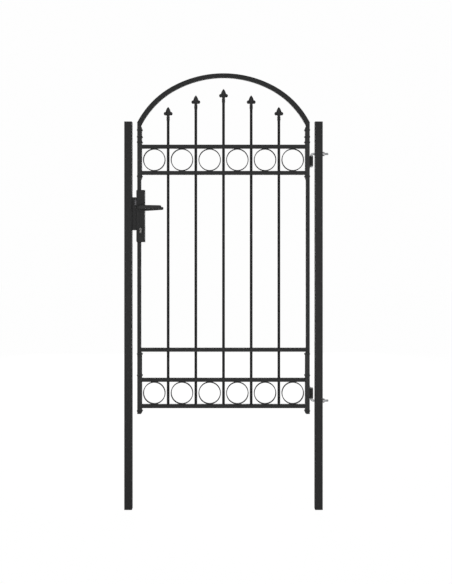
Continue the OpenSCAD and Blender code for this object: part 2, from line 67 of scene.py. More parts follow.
# ------------------------------------------------------------------ layout
# Everything below is in millimetres with x = 0 in the middle of the leaf; SX takes it to the row frame.
post_l, post_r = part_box("latch_post_lower"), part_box("hinge_post_lower")
SX = (post_l[0].x + post_r[1].x) * 500


def box_mm(node):
    """A CAD node's box in leaf-centred millimetres: x0, x1, y0, y1, z0, z1."""
    a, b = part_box(node)
    return a.x * 1000 - SX, b.x * 1000 - SX, a.y * 1000, b.y * 1000, a.z * 1000, b.z * 1000


PX1 = box_mm("hinge_post_lower")[1]
PX0 = box_mm("hinge_post_lower")[0]
POST_X = (PX0 + PX1) / 2
POST_W = PX1 - PX0
POST_TOP = box_mm("hinge_post_cap")[5]
POST_TUBE_TOP = box_mm("hinge_post_upper")[5]
POST_SPLIT = box_mm("hinge_post_lower")[5]
LW = box_mm("hinge_stile_lower")[1]
TUBE = LW - box_mm("hinge_stile_lower")[0]
H = TUBE / 2
WALL = 1.5
LEAF_Z0 = box_mm("stile_foot_plugs")[4]
PLUG_T = 2.0
STILE_SPLIT = box_mm("hinge_stile_lower")[5]
CASE = box_mm("lock_case")
CASE_Z0, CASE_Z1 = CASE[4], CASE[5]
LEAF_TOP = box_mm("arch_tube")[5]

# arch: crown and shoulder arcs, as in the CAD source
CROWN_R, SHOULDER_R, CROWN_A, ARCH_T, ARCH_GROW = 550.0, 447.0, 28.2, 22.5, 3.2
C1 = LEAF_TOP - CROWN_R
ACX = (CROWN_R - SHOULDER_R) * math.sin(math.radians(CROWN_A))
ACZ = C1 + (CROWN_R - SHOULDER_R) * math.cos(math.radians(CROWN_A))
MZO = ACZ + math.sqrt(SHOULDER_R ** 2 - (LW - ACX) ** 2)
MZI = ACZ + math.sqrt((SHOULDER_R - ARCH_T - ARCH_GROW) ** 2 - (LW - TUBE - ACX) ** 2)

PITCH = 143.0
BARS = (-2, -1, 0, 1, 2)
BAR_R = 7.0
BAR_SPLIT = box_mm("lower_bars")[5]
TIPS = {0: box_mm("centre_finial")[5], 1: box_mm("inner_finials")[5], 2: box_mm("outer_finials")[5]}
RAILS = {n: box_mm(n) for n in ("frieze_rail_top", "frieze_rail_bottom", "middle_rail", "base_rail_top", "base_rail_bottom")}
AXIS_X = (box_mm("upper_hinge_barrel")[1]) - 9.0
LOCK_X = -426.0
PIVOT_Z = 1555.0
KEY_Z = 1445.0


# ------------------------------------------------------------------ mesh code

class Geo:
    """Collects closed surfaces in millimetres."""

    def __init__(self):
        self.v, self.f, self.m = [], [], []
        self.mat = 0

    def add(self, verts, faces):
        n = len(self.v)
        self.v += [tuple(p) for p in verts]
        self.f += [tuple(i + n for i in f) for f in faces]
        self.m += [self.mat] * len(faces)

    def loft(self, rows, ring=False, cap0=True, cap1=True):
        """Joins closed loops of the same length. A ring joins the last loop to the first."""
        n, k = len(rows[0]), len(rows)
        verts = [p for row in rows for p in row]
        faces = []
        for r in range(k if ring else k - 1):
            a, b = r * n, ((r + 1) % k) * n
            faces += [(a + i, a + (i + 1) % n, b + (i + 1) % n, b + i) for i in range(n)]
        if not ring:
            if cap0:
                faces.append(tuple(reversed(range(n))))
            if cap1:
                faces.append(tuple((k - 1) * n + i for i in range(n)))
        self.add(verts, faces)

    def lathe(self, profile, at, axis="z", n=48, ring=False, turn=0.0):
        """Turns (radius, height) pairs round an axis through a point. A radius of 0 makes a pole."""
        rows, poles = [], {}
        verts, faces, index = [], [], []
        for j, (r, h) in enumerate(profile):
            if r < 1e-6:
                index.append([len(verts)])
                verts.append(place(0, 0, h, at, axis))
            else:
                index.append([len(verts) + i for i in range(n)])
                for i in range(n):
                    a = 2 * math.pi * i / n + turn
                    verts.append(place(r * math.cos(a), r * math.sin(a), h, at, axis))
        pairs = list(zip(index, index[1:])) + ([(index[-1], index[0])] if ring else [])
        for a, b in pairs:
            for i in range(n):
                j = (i + 1) % n
                if len(a) == 1 and len(b) == 1:
                    continue
                if len(a) == 1:
                    faces.append((a[0], b[j], b[i]))
                elif len(b) == 1:
                    faces.append((a[i], a[j], b[0]))
                else:
                    faces.append((a[i], a[j], b[j], b[i]))
        if not ring:
            for row, flip in ((index[0], True), (index[-1], False)):
                if len(row) > 1:
                    faces.append(tuple(reversed(row)) if flip else tuple(row))
        self.add(verts, faces)


def place(u, v, h, at, axis):
    """u, v across and h along an axis, from a point. Axes: z, x, -x, y, -y."""
    x, y, z = at
    if axis == "z":
        return (x + u, y + v, z + h)
    if axis == "-z":
        return (x + u, y - v, z - h)
    if axis == "x":
        return (x + h, y + u, z + v)
    if axis == "-x":
        return (x - h, y - u, z + v)
    if axis == "y":
        return (x - u, y + h, z + v)
    return (x + u, y - h, z + v)


def rrect(w, d, r, n=5, cx=0.0, cy=0.0):
    """A rounded rectangle, anticlockwise. r is one radius, or four from the +x+y corner round."""
    rs = [r] * 4 if not isinstance(r, (tuple, list)) else list(r)
    pts = []
    for (sx, sy, a0), q in zip(((1, 1, 0), (-1, 1, 90), (-1, -1, 180), (1, -1, 270)), rs):
        ox, oy = sx * (w / 2 - q), sy * (d / 2 - q)
        for k in range(n + 1):
            a = math.radians(a0 + 90 * k / n)
            pts.append((cx + ox + q * math.cos(a), cy + oy + q * math.sin(a)))
    return pts


def box_tube(geo, at, w, d, t, r, s0, s1, axis="z", c=0.35, n=5):
    """A hollow rolled tube with rounded corners and broken end edges. s0 and s1 are numbers, or functions of (u, v)."""
    outer, inner = rrect(w, d, r, n), rrect(w - 2 * t, d - 2 * t, max(r - t, 0.4), n)
    inset = rrect(w - 2 * c, d - 2 * c, max(r - c, 0.4), n)

    def row(loop, s, ds):
        return [place(u, v, (s(u, v) if callable(s) else s) + ds, at, axis) for u, v in loop]
    geo.loft([row(outer, s0, c), row(outer, s1, -c), row(inset, s1, 0), row(inner, s1, 0), row(inner, s0, 0), row(inset, s0, 0)], ring=True)


def resample(path, step, closed=True):
    """Evenly spaced points along a polyline."""
    pts = [Vector(p) for p in path] + ([Vector(path[0])] if closed else [])
    lengths = [0.0]
    for a, b in zip(pts, pts[1:]):
        lengths.append(lengths[-1] + (b - a).length)
    n = max(8, int(round(lengths[-1] / step)))
    out, k = [], 0
    for i in range(n if closed else n + 1):
        s = lengths[-1] * i / n
        while k < len(pts) - 2 and lengths[k + 1] < s:
            k += 1
        seg = lengths[k + 1] - lengths[k]
        t = 0 if seg < 1e-9 else (s - lengths[k]) / seg
        out.append(pts[k].lerp(pts[k + 1], t))
    return out, lengths[-1]


def bead(geo, path, out_of, a, b, closed=True, step=0.55, pitch=2.1, seed=0.0, sides=8):
    """A weld bead along a path. out_of gives the direction it stands proud in; a is its height and b its half width. Ripples follow the torch."""
    pts, length = resample(path, step, closed)
    n = len(pts)
    waves = max(3, round(length / pitch))
    rows = []
    for i, p in enumerate(pts):
        nxt = pts[(i + 1) % n] if closed or i < n - 1 else p
        prv = pts[i - 1] if closed or i > 0 else p
        tan = (nxt - prv).normalized()
        up = Vector(out_of(p)).normalized()
        side = tan.cross(up).normalized()
        s = i / n if closed else i / (n - 1)
        ph = (s * waves) % 1.0
        k = 0.90 + 0.13 * (1 - ph) ** 0.6 + 0.05 * math.sin(7.3 * s * 2 * math.pi + seed) + 0.04 * math.sin(2 * math.pi * round(3 + seed) * s + 2 * seed)
        if not closed:
            k *= min(1.0, 0.35 + 5.0 * min(s, 1 - s))
        rows.append([p + up * (a * k * math.cos(2 * math.pi * j / sides)) + side * (b * k * math.sin(2 * math.pi * j / sides)) for j in range(sides)])
    geo.loft(rows, ring=closed)


def offset(loop, e):
    """Moves an anticlockwise loop outwards by e (negative: inwards)."""
    if abs(e) < 1e-9:
        return list(loop)
    n, out = len(loop), []
    for i in range(n):
        p0, p1, p2 = loop[i - 1], loop[i], loop[(i + 1) % n]
        d1 = (p1[0] - p0[0], p1[1] - p0[1])
        d2 = (p2[0] - p1[0], p2[1] - p1[1])
        l1, l2 = math.hypot(*d1) or 1e-9, math.hypot(*d2) or 1e-9
        n1, n2 = (d1[1] / l1, -d1[0] / l1), (d2[1] / l2, -d2[0] / l2)
        m = (n1[0] + n2[0], n1[1] + n2[1])
        q = m[0] ** 2 + m[1] ** 2
        k = 2 / q if q > 0.3 else 2 / 0.3
        out.append((p1[0] + m[0] * e * k, p1[1] + m[1] * e * k))
    return out


# ------------------------------------------------------------------ materials

def new_material(name):
    m = bpy.data.materials.new(name)
    m.use_nodes = True
    nt = m.node_tree
    return m, nt, nt.nodes["Principled BSDF"]


def ramp(nt, src, a, b, ca, cb):
    r = nt.nodes.new("ShaderNodeValToRGB")
    r.color_ramp.elements[0].position = a
    r.color_ramp.elements[1].position = b
    r.color_ramp.elements[0].color = (*ca, 1)
    r.color_ramp.elements[1].color = (*cb, 1)
    nt.links.new(src, r.inputs["Fac"])
    return r.outputs["Color"]


def noise(nt, scale, detail=4.0, rough=0.5, vector=None, dim="3D"):
    n = nt.nodes.new("ShaderNodeTexNoise")
    n.noise_dimensions = dim
    n.inputs["Scale"].default_value = scale
    n.inputs["Detail"].default_value = detail
    n.inputs["Roughness"].default_value = rough
    if vector is not None:
        nt.links.new(vector, n.inputs["Vector"])
    return n.outputs["Fac"]


def coords(nt, scale=(1, 1, 1)):
    t = nt.nodes.new("ShaderNodeTexCoord")
    m = nt.nodes.new("ShaderNodeMapping")
    m.inputs["Scale"].default_value = scale
    nt.links.new(t.outputs["Object"], m.inputs["Vector"])
    return m.outputs["Vector"]


def to_range(nt, src, lo, hi, a=0.3, b=0.7):
    r = nt.nodes.new("ShaderNodeMapRange")
    r.inputs["From Min"].default_value = a
    r.inputs["From Max"].default_value = b
    r.inputs["To Min"].default_value = lo
    r.inputs["To Max"].default_value = hi
    nt.links.new(src, r.inputs["Value"])
    return r.outputs["Result"]


def bump(nt, src, strength, distance, after=None):
    b = nt.nodes.new("ShaderNodeBump")
    b.inputs["Strength"].default_value = strength
    b.inputs["Distance"].default_value = distance
    nt.links.new(src, b.inputs["Height"])
    if after is not None:
        nt.links.new(after, b.inputs["Normal"])
    return b.outputs["Normal"]


def powder_coat(name, dark, light, spec=0.35, rough=(0.42, 0.52), peel_depth=0.05):
    """Satin polyester powder: orange peel of a few millimetres, a finer grain in it, and a slow drift of tone."""
    m, nt, p = new_material(name)
    v = coords(nt)
    slow = noise(nt, 3.5, 3.0, 0.55, v)
    nt.links.new(ramp(nt, slow, 0.30, 0.70, dark, light), p.inputs["Base Color"])
    nt.links.new(to_range(nt, noise(nt, 60.0, 3.0, 0.6, v), *rough), p.inputs["Roughness"])
    peel = bump(nt, noise(nt, 420.0, 2.0, 0.5, v), peel_depth, 0.0004)
    grain = bump(nt, noise(nt, 1900.0, 1.0, 0.5, v), peel_depth, 0.0001, peel)
    nt.links.new(grain, p.inputs["Normal"])
    p.inputs["Specular IOR Level"].default_value = spec
    return m


def zinc_plate(name, dark, light, rough=(0.30, 0.46), scale=1.0, metal=1.0):
    """Electroplated zinc: cloudy tone, fine drawing marks and small dull specks."""
    m, nt, p = new_material(name)
    v = coords(nt)
    cloud = noise(nt, 38.0 * scale, 5.0, 0.6, v)
    nt.links.new(ramp(nt, cloud, 0.32, 0.68, dark, light), p.inputs["Base Color"])
    nt.links.new(to_range(nt, noise(nt, 150.0 * scale, 3.0, 0.6, v), *rough), p.inputs["Roughness"])
    nt.links.new(bump(nt, noise(nt, 900.0 * scale, 3.0, 0.6, v), 0.12, 0.0003), p.inputs["Normal"])
    p.inputs["Metallic"].default_value = metal
    return m


def moulded(name, dark, light):
    """Moulded polyethylene: slightly waxy with a spark-eroded texture."""
    m, nt, p = new_material(name)
    v = coords(nt)
    nt.links.new(ramp(nt, noise(nt, 14.0, 3.0, 0.5, v), 0.3, 0.7, dark, light), p.inputs["Base Color"])
    nt.links.new(to_range(nt, noise(nt, 90.0, 2.0, 0.5, v), 0.48, 0.60), p.inputs["Roughness"])
    nt.links.new(bump(nt, noise(nt, 1400.0, 2.0, 0.5, v), 0.22, 0.0003), p.inputs["Normal"])
    p.inputs["Specular IOR Level"].default_value = 0.35
    return m


def brushed_nickel(name, dark, light):
    """Nickel-plated brass, brushed along the cylinder."""
    m, nt, p = new_material(name)
    v = coords(nt, (260.0, 6.0, 260.0))
    lines = noise(nt, 4.0, 2.0, 0.6, v)
    nt.links.new(ramp(nt, noise(nt, 55.0, 3.0, 0.5, coords(nt)), 0.3, 0.7, dark, light), p.inputs["Base Color"])
    nt.links.new(to_range(nt, lines, 0.24, 0.38), p.inputs["Roughness"])
    nt.links.new(bump(nt, lines, 0.12, 0.0002), p.inputs["Normal"])
    p.inputs["Metallic"].default_value = 1.0
    return m


COAT = powder_coat("powder_coat", (0.0182, 0.0184, 0.0187), (0.0205, 0.0207, 0.0210), 0.12, (0.46, 0.54))
COAT_CAST = powder_coat("powder_coat_cast", (0.0165, 0.0167, 0.0170), (0.0190, 0.0192, 0.0195), 0.20, (0.46, 0.56))
COAT_WELD = powder_coat("powder_coat_weld", (0.0160, 0.0162, 0.0165), (0.0185, 0.0187, 0.0190), 0.22, (0.40, 0.50))
# A darker copy of the powder coat for the bars and rings: its darker tone is painted shade, for round bars that turn
# away from the light.
COAT_BAR_SHADED = powder_coat("powder_coat_bar_shaded", (0.0150, 0.0152, 0.0155), (0.0165, 0.0167, 0.0170), 0.08, (0.55, 0.62), 0.0)
ZINC = zinc_plate("zinc", (0.44, 0.45, 0.46), (0.58, 0.59, 0.60), (0.42, 0.56), 1.0, 0.55)
# A darker copy of the zinc for the hinge nuts and grub screws: its darker tone is painted shade, for nuts lit from
# above and dark below.
ZINC_SHADED = zinc_plate("zinc_shaded", (0.26, 0.26, 0.265), (0.36, 0.36, 0.365), (0.40, 0.52), 1.0, 0.7)
# A near-black copy of the zinc for the latch and the dead bolt: its dark tone is painted shade, for the shade inside
# the keeper and the lock case.
ZINC_BOLT_SHADED = zinc_plate("zinc_bolt_shaded", (0.045, 0.045, 0.047), (0.075, 0.075, 0.078), (0.38, 0.50))
PLASTIC = moulded("black_plastic", (0.010, 0.010, 0.011), (0.016, 0.016, 0.017))
# The cylinder's nickel is kept very dark: the plating is its own, but the dark tone is painted shade for the recess the
# cylinder sits in.
NICKEL_SHADED = brushed_nickel("nickel", (0.055, 0.054, 0.052), (0.08, 0.078, 0.076))

PIECES = []


def piece(name, geo, mats, body, nodes=(), sharp=38, bevel=None):
    """Makes the mesh object, shades it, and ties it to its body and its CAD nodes."""
    me = bpy.data.meshes.new(name)
    me.from_pydata([((x + SX) * 0.001, y * 0.001, z * 0.001) for x, y, z in geo.v], [], geo.f)
    bm = bmesh.new()
    bm.from_mesh(me)
    bmesh.ops.remove_doubles(bm, verts=bm.verts, dist=1e-7)
    bmesh.ops.recalc_face_normals(bm, faces=bm.faces)
    bm.to_mesh(me)
    bm.free()
    if len(me.polygons) == len(geo.m):
        me.polygons.foreach_set("material_index", geo.m)
    ob = bpy.data.objects.new(name, me)
    bpy.context.scene.collection.objects.link(ob)
    for m in mats if isinstance(mats, (list, tuple)) else [mats]:
        me.materials.append(m)
    me.shade_smooth()
    me.set_sharp_from_angle(angle=math.radians(sharp))
    if bevel:
        b = ob.modifiers.new("edge", "BEVEL")
        b.width = bevel * 0.001
        b.segments = 3
        b.limit_method = "ANGLE"
        b.angle_limit = math.radians(40)
        b.harden_normals = False
    w = ob.modifiers.new("flat_faces", "WEIGHTED_NORMAL")
    w.keep_sharp = True
    w.weight = 80
    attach(ob, body)
    if nodes:
        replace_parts(ob, *nodes)
    PIECES.append(ob)
    return ob


# ------------------------------------------------------------------ posts

def post(side, z0, z1, name, node):
    g = Geo()
    box_tube(g, (side * POST_X, 0, 0), POST_W, POST_W, WALL, 2.6, z0, z1, c=0.3, n=6)
    piece(name, g, COAT, "posts", [node])


post(-1, 0.0, POST_SPLIT, "post_left_lower", "latch_post_lower")
post(-1, POST_SPLIT, POST_TUBE_TOP, "post_left_upper", "latch_post_upper")
post(1, 0.0, POST_SPLIT, "post_right_lower", "hinge_post_lower")
post(1, POST_SPLIT, POST_TUBE_TOP, "post_right_upper", "hinge_post_upper")


def post_cap(side, name, node):
    """Moulded tube plug: a rim flush with the tube, rolled over into a low crown, and a ribbed skirt inside."""
    g = Geo()
    z = POST_TUBE_TOP
    cx = side * POST_X
    rows = [(POST_W, 2.6, z), (POST_W, 2.6, z + 0.35)]
    for k in range(1, 6):
        a = math.pi / 2 * k / 5
        rows.append((POST_W - 2 * 1.3 * (1 - math.cos(a)), 2.6, z + 0.35 + 1.15 * math.sin(a)))
    rows += [(POST_W - 7, 2.2, POST_TOP - 0.32), (POST_W - 14, 2.0, POST_TOP - 0.12), (POST_W - 24, 1.6, POST_TOP - 0.02), (4.0, 0.8, POST_TOP)]
    under = [(POST_W - 4.5, 1.4, z), (POST_W - 4.5, 1.4, z - 13.2), (POST_W - 5.6, 1.2, z - 14.0)]
    loops = [[(x, y, zz) for x, y in rrect(w, w, r, 5, cx)] for w, r, zz in list(reversed(under)) + rows]
    g.loft(loops)
    for sx, sy in ((1, 0), (-1, 0), (0, 1), (0, -1)):
        for q in (-9, 0, 9):
            x, y = cx + sx * (POST_W / 2 - 2.15) + sy * q, sy * (POST_W / 2 - 2.15) + sx * q
            g.loft([[(x + u, y + v, zz) for u, v in rrect(0.9 if sx else 1.6, 1.6 if sx else 0.9, 0.25, 2)] for zz in (z - 12.5, z - 0.6)])
    piece(name, g, PLASTIC, "posts", [node], sharp=50)


post_cap(-1, "post_cap_left", "latch_post_cap")
post_cap(1, "post_cap_right", "hinge_post_cap")


def socket_head(g, at, axis, r, h, hex_r, hex_d, shank_r, shank_l, dome=0.45):
    """Low button head with a hexagon socket, and its shank into the tube."""
    n = 48
    prof = [(0, -shank_l), (shank_r - 0.3, -shank_l), (shank_r, -shank_l + 0.4), (shank_r, 0.0), (r - 0.15, 0.0), (r, 0.12)]
    for k in range(1, 6):
        a = math.pi / 2 * k / 5
        prof.append((r - (r - hex_r * 1.35) * (1 - math.cos(a)) * 0.98, 0.12 + (h - 0.12) * math.sin(a) ** (1 / (1 + dome))))
    prof.append((hex_r * 1.22, h))
    rows = []
    for pr, ph in prof[1:]:
        rows.append([place(pr * math.cos(2 * math.pi * i / n), pr * math.sin(2 * math.pi * i / n), ph, at, axis) for i in range(n)])

    def hexed(q, ph):
        out = []
        for i in range(n):
            a = 2 * math.pi * i / n
            s = (a % (math.pi / 3)) - math.pi / 6
            rr = q * math.cos(math.pi / 6) / math.cos(s)
            out.append(place(rr * math.cos(a), rr * math.sin(a), ph, at, axis))
        return out
    rows += [hexed(hex_r * 1.12, h - 0.02), hexed(hex_r, h - 0.14), hexed(hex_r, h - hex_d), hexed(hex_r * 0.3, h - hex_d - 0.25)]
    g.loft(rows)


g = Geo()
for side in (-1, 1):
    for z in (POST_SPLIT - 17.5, POST_SPLIT + 17.5):
        socket_head(g, (side * PX1, 0, z), "x" if side > 0 else "-x", 7.5, 1.2, 2.3, 0.8, 3.0, 8.0)
piece("post_joint_screws_head", g, COAT_WELD, "posts", ["post_joint_screws"], sharp=42)


# keeper: one folded sheet, closed top and bottom, with a slot in its front flange for the latch head
def keeper():
    g = Geo()
    x0, x1, y0, y1, z0, z1 = box_mm("latch_keeper")
    t, t2 = 2.0, 3.0
    ri, seg = 2.0, 6

    def bend_loop(tt):
        """The sheet's section in x and y: front flange, back plate against the post, stop flange."""
        outer, inner = [], []
        outer.append((x1, y0))
        for k in range(seg + 1):
            a = math.pi / 2 * k / seg
            outer.append((x0 + ri - ri * math.sin(a), y0 + ri - ri * math.cos(a)))
        for k in range(seg + 1):
            a = math.pi / 2 * k / seg
            outer.append((x0 + ri - ri * math.cos(a), y1 - ri + ri * math.sin(a)))
        outer.append((x1, y1))
        inner.append((x1, y1 - t2))
        inner.append((x0 + tt + 0.4, y1 - t2))
        inner.append((x0 + tt, y1 - t2 - 0.4))
        inner.append((x0 + tt, y0 + tt + 0.4))
        inner.append((x0 + tt + 0.4, y0 + tt))
        inner.append((x1, y0 + tt))
        return outer + inner
    loop = list(reversed(bend_loop(t)))
    g.loft([[(x, y, z) for x, y in loop] for z in (z0, z1)])
    for a, b in ((z0, z0 + t), (z1 - t, z1)):
        lp = [(x1, y0 + t), (x1, y1 - t2 + 0.2), (x0 + t - 0.2, y1 - t2 + 0.2), (x0 + t - 0.2, y0 + t)]
        g.loft([[(x, y, z) for x, y in lp] for z in (a + 0.02, b - 0.02)])
    return piece("keeper_channel", g, COAT, "posts", ["latch_keeper"], sharp=35, bevel=0.35)


keeper_ob = keeper()


def cross_head(g, at, axis, r, h, shank_r, shank_l, arm, slot_w, depth):
    """Pan head with a cross recess: the recess is a real pocket, cut as a plus-shaped loop."""
    n = 48
    prof = [(shank_r, -shank_l), (shank_r, 0.0), (r - 0.1, 0.0), (r, 0.15), (r * 0.985, h * 0.42), (r * 0.90, h * 0.74), (r * 0.76, h * 0.93), (r * 0.66, h)]

    def circle(q, ph):
        return [place(q * math.cos(2 * math.pi * (i + 0.5) / n), q * math.sin(2 * math.pi * (i + 0.5) / n), ph, at, axis) for i in range(n)]

    def plus(q, s, ph):
        out = []
        for i in range(n):
            a = 2 * math.pi * (i + 0.5) / n
            ca, sa = abs(math.cos(a)), abs(math.sin(a))
            hi, lo = max(ca, sa), min(ca, sa)
            rr = min(q / hi, (s / 2) / max(lo, 1e-6)) if lo > 1e-6 else q / hi
            rr = max(rr, (s / 2) / hi * 1.0)
            rr = min(rr, q / hi)
            out.append(place(math.copysign(rr * ca, math.cos(a)), math.copysign(rr * sa, math.sin(a)), ph, at, axis))
        return out
    rows = [circle(q, ph) for q, ph in prof] + [plus(arm, slot_w, h - 0.02), plus(arm * 0.8, slot_w * 0.8, h - depth)]
    g.loft(rows)


g = Geo()
kb = box_mm("keeper_screws")
for z in (1505, 1545):
    cross_head(g, (kb[1] - 2.4, 0, z), "x", 4.6, 2.4, 2.5, 10.0, 2.6, 1.0, 1.1)
piece("keeper_screws_head", g, ZINC, "posts", ["keeper_screws"], sharp=40)


# hinge bolts: rod, round bend, pin with its collar, and rolled thread beyond the post
def hinge_bolt(name, node, rod_z, up, pin_l):
    g = Geo()
    n, r, br = 32, 6.0, 10.0
    s = 1 if up else -1
    end = box_mm(node)[1]
    rows = []

    def ring_at(p, t, q):
        """A circle of radius q round point p with tangent t in the xz plane."""
        side = Vector((-t.z, 0, t.x))
        return [p + side * (q * math.cos(2 * math.pi * i / n)) + Vector((0, 1, 0)) * (q * math.sin(2 * math.pi * i / n)) for i in range(n)]
    # pin, from its free end down to the bend
    axis = Vector((0, 0, -s))
    top = rod_z + s * (br + pin_l)
    for q, d in ((r - 1.2, 0.0), (r, 1.2), (r, pin_l - 1.9)):
        rows.append(ring_at(Vector((AXIS_X, 0, top - s * d)), axis, q))
    rows.append(ring_at(Vector((AXIS_X, 0, rod_z + s * (br + 1.55))), axis, 7.6))
    rows.append(ring_at(Vector((AXIS_X, 0, rod_z + s * (br + 1.1))), axis, 8.0))
    rows.append(ring_at(Vector((AXIS_X, 0, rod_z + s * (br + 0.3))), axis, 8.0))
    rows.append(ring_at(Vector((AXIS_X, 0, rod_z + s * (br - 0.1))), axis, 7.5))
    rows.append(ring_at(Vector((AXIS_X, 0, rod_z + s * (br - 0.5))), axis, r + 0.1))
    for k in range(1, 17):
        a = math.pi / 2 * k / 16
        p = Vector((AXIS_X + br - br * math.cos(a), 0, rod_z + s * (br - br * math.sin(a))))
        rows.append(ring_at(p, Vector((math.sin(a), 0, -s * math.cos(a))), r - 0.12 * math.sin(2 * a)))
    t = Vector((1, 0, 0))
    thread0 = PX0 - 3.0
    rows.append(ring_at(Vector((thread0 - 2, 0, rod_z)), t, r))
    # thread: crest and root rings at the pitch of M12
    x = thread0
    pitch = 1.75
    while x + pitch < end - 1.4:
        inside = PX0 + 2 < x < PX1 - 2
        if inside:
            x += pitch
            continue
        rows.append(ring_at(Vector((x, 0, rod_z)), t, r - 0.95))
        rows.append(ring_at(Vector((x + pitch * 0.44, 0, rod_z)), t, r - 0.05))
        rows.append(ring_at(Vector((x + pitch * 0.56, 0, rod_z)), t, r - 0.05))
        x += pitch
    rows.append(ring_at(Vector((end - 1.2, 0, rod_z)), t, r - 0.9))
    rows.append(ring_at(Vector((end, 0, rod_z)), t, r - 1.9))
    g.loft(rows)
    piece(name, g, ZINC, "posts", [node], sharp=60)


UP_ROD = (box_mm("upper_hinge_bolt")[5]) - 6.0
LO_ROD = (box_mm("lower_hinge_bolt")[4]) + 6.0
UB = box_mm("upper_hinge_barrel")
LB = box_mm("lower_hinge_barrel")
hinge_bolt("hinge_bolt_top", "upper_hinge_bolt", UP_ROD, False, UP_ROD - 10 - UB[4] + 6)
hinge_bolt("hinge_bolt_bottom", "lower_hinge_bolt", LO_ROD, True, LB[5] + 6 - LO_ROD - 10)

g = Geo()
for z in (LO_ROD, UP_ROD):
    # hexagon nut with the corners turned down at 30 degrees, and a chamfered thread; its darker zinc is painted shade
    af, ht, n = 19.0, 9.0, 72
    x0 = PX1 + 1.6

    def nut_row(q, h, cut):
        out = []
        for i in range(n):
            a = 2 * math.pi * i / n + math.pi / 6
            s = ((a - math.pi / 6) % (math.pi / 3)) - math.pi / 6
            rr = min(af / 2 / math.cos(s) + q, cut)
            out.append((x0 + h, rr * math.cos(a), z + rr * math.sin(a)))
        return out

    def circ(q, h):
        return [(x0 + h, q * math.cos(2 * math.pi * i / n + math.pi / 6), z + q * math.sin(2 * math.pi * i / n + math.pi / 6)) for i in range(n)]
    rows = [circ(9.3, 0.0), nut_row(0, 0.25, 9.75), nut_row(0, 0.8, 10.6), nut_row(0, 1.1, 11.2), nut_row(0, ht - 1.1, 11.2), nut_row(0, ht - 0.8, 10.6), nut_row(0, ht - 0.25, 9.75), circ(9.3, ht), circ(6.9, ht), circ(6.0, ht - 0.9), circ(6.0, 0.9), circ(6.9, 0.0)]
    g.loft(rows, ring=True)
piece("hinge_nuts_hex", g, ZINC_SHADED, "posts", ["hinge_nuts"], sharp=30)

g = Geo()
for z in (LO_ROD, UP_ROD):
    g.lathe([(6.4, 0.1), (6.4, 1.45), (6.6, 1.6), (10.7, 1.6), (11.0, 1.3), (11.0, 0.25), (10.8, 0.0), (6.6, 0.0)], (PX1, 0, z), "x", 64, ring=True)
piece("hinge_washers_flat", g, ZINC, "posts", ["hinge_washers"], sharp=40)


# ------------------------------------------------------------------ leaf frame

def arch_xz(a, e):
    """Point of the arch at angle a (degrees from the crown), e inside its outer face."""
    if abs(a) <= CROWN_A:
        q = CROWN_R - e
        return q * math.sin(math.radians(a)), C1 + q * math.cos(math.radians(a))
    q = SHOULDER_R - e
    return math.copysign(ACX, a) + q * math.sin(math.radians(a)), ACZ + q * math.cos(math.radians(a))


def mitre_z(x):
    return MZI + (abs(x) - (LW - TUBE)) * (MZO - MZI) / TUBE


def mitre_angle(e):
    lo, hi = 40.0, 89.0
    for _ in range(50):
        mid = (lo + hi) / 2
        x, z = arch_xz(mid, e)
        if z > mitre_z(x):
            lo = mid
        else:
            hi = mid
    return lo


def arch_rows(d, r, wall, n):
    """Loops of the tube's section along the arch, cut on the mitres. The tube deepens from the crown to its feet."""
    def depth(a):
        return ARCH_T + ARCH_GROW * min(abs(a) / 50.0, 1.0)
    unit = rrect(ARCH_T - 2 * wall, d, r, 5)
    half = ARCH_T / 2 - wall
    rows = []
    ends = []
    for u, v in unit:
        # the depth is constant where the mitre is, so each strand ends at its own angle there
        full = ARCH_T + ARCH_GROW
        e = full / 2 - u - math.copysign(ARCH_GROW / 2, u) * min(1.0, abs(u) / (half - r))
        ends.append(mitre_angle(e))
    for k in range(-n, n + 1):
        row = []
        for (u, v), a1 in zip(unit, ends):
            a = a1 * k / n
            t = depth(a)
            e = t / 2 - u - math.copysign((t - ARCH_T) / 2, u) * min(1.0, abs(u) / (half - r))
            x, z = arch_xz(a, e)
            row.append((x, v, z))
        rows.append(row)
    return rows


g = Geo()
outer = arch_rows(TUBE, 2.2, 0.0, 72)
inner = arch_rows(TUBE - 2 * WALL, 0.7, WALL, 72)
g.loft(outer + list(reversed(inner)), ring=True)
piece("arch", g, COAT, "leaf", ["arch_tube"], sharp=40)

STILE_X = LW - H


def stile(side, z0, z1, name, node):
    g = Geo()
    top = (lambda u, v: mitre_z(abs(side * STILE_X + u))) if z1 is None else z1
    box_tube(g, (side * STILE_X, 0, 0), TUBE, TUBE, WALL, 2.2, z0, top, c=0.25)
    piece(name, g, COAT, "leaf", [node])


stile(-1, CASE_Z1, None, "stile_left_top", "latch_stile_upper")
stile(-1, STILE_SPLIT, CASE_Z0, "stile_left_middle", "latch_stile_middle")
stile(-1, LEAF_Z0 + PLUG_T, STILE_SPLIT, "stile_left_lower", "latch_stile_lower")
stile(1, STILE_SPLIT, None, "stile_right_top", "hinge_stile_upper")
stile(1, LEAF_Z0 + PLUG_T, STILE_SPLIT, "stile_right_lower", "hinge_stile_lower")

g = Geo()
for side in (-1, 1):
    for dz in (-32, -7, 7, 32):
        socket_head(g, (side * LW, 0, STILE_SPLIT + dz), "x" if side > 0 else "-x", 4.2, 0.9, 1.4, 0.6, 2.0, 6.0)
piece("stile_joint_screws_head", g, COAT_WELD, "leaf", ["stile_joint_screws"], sharp=42)

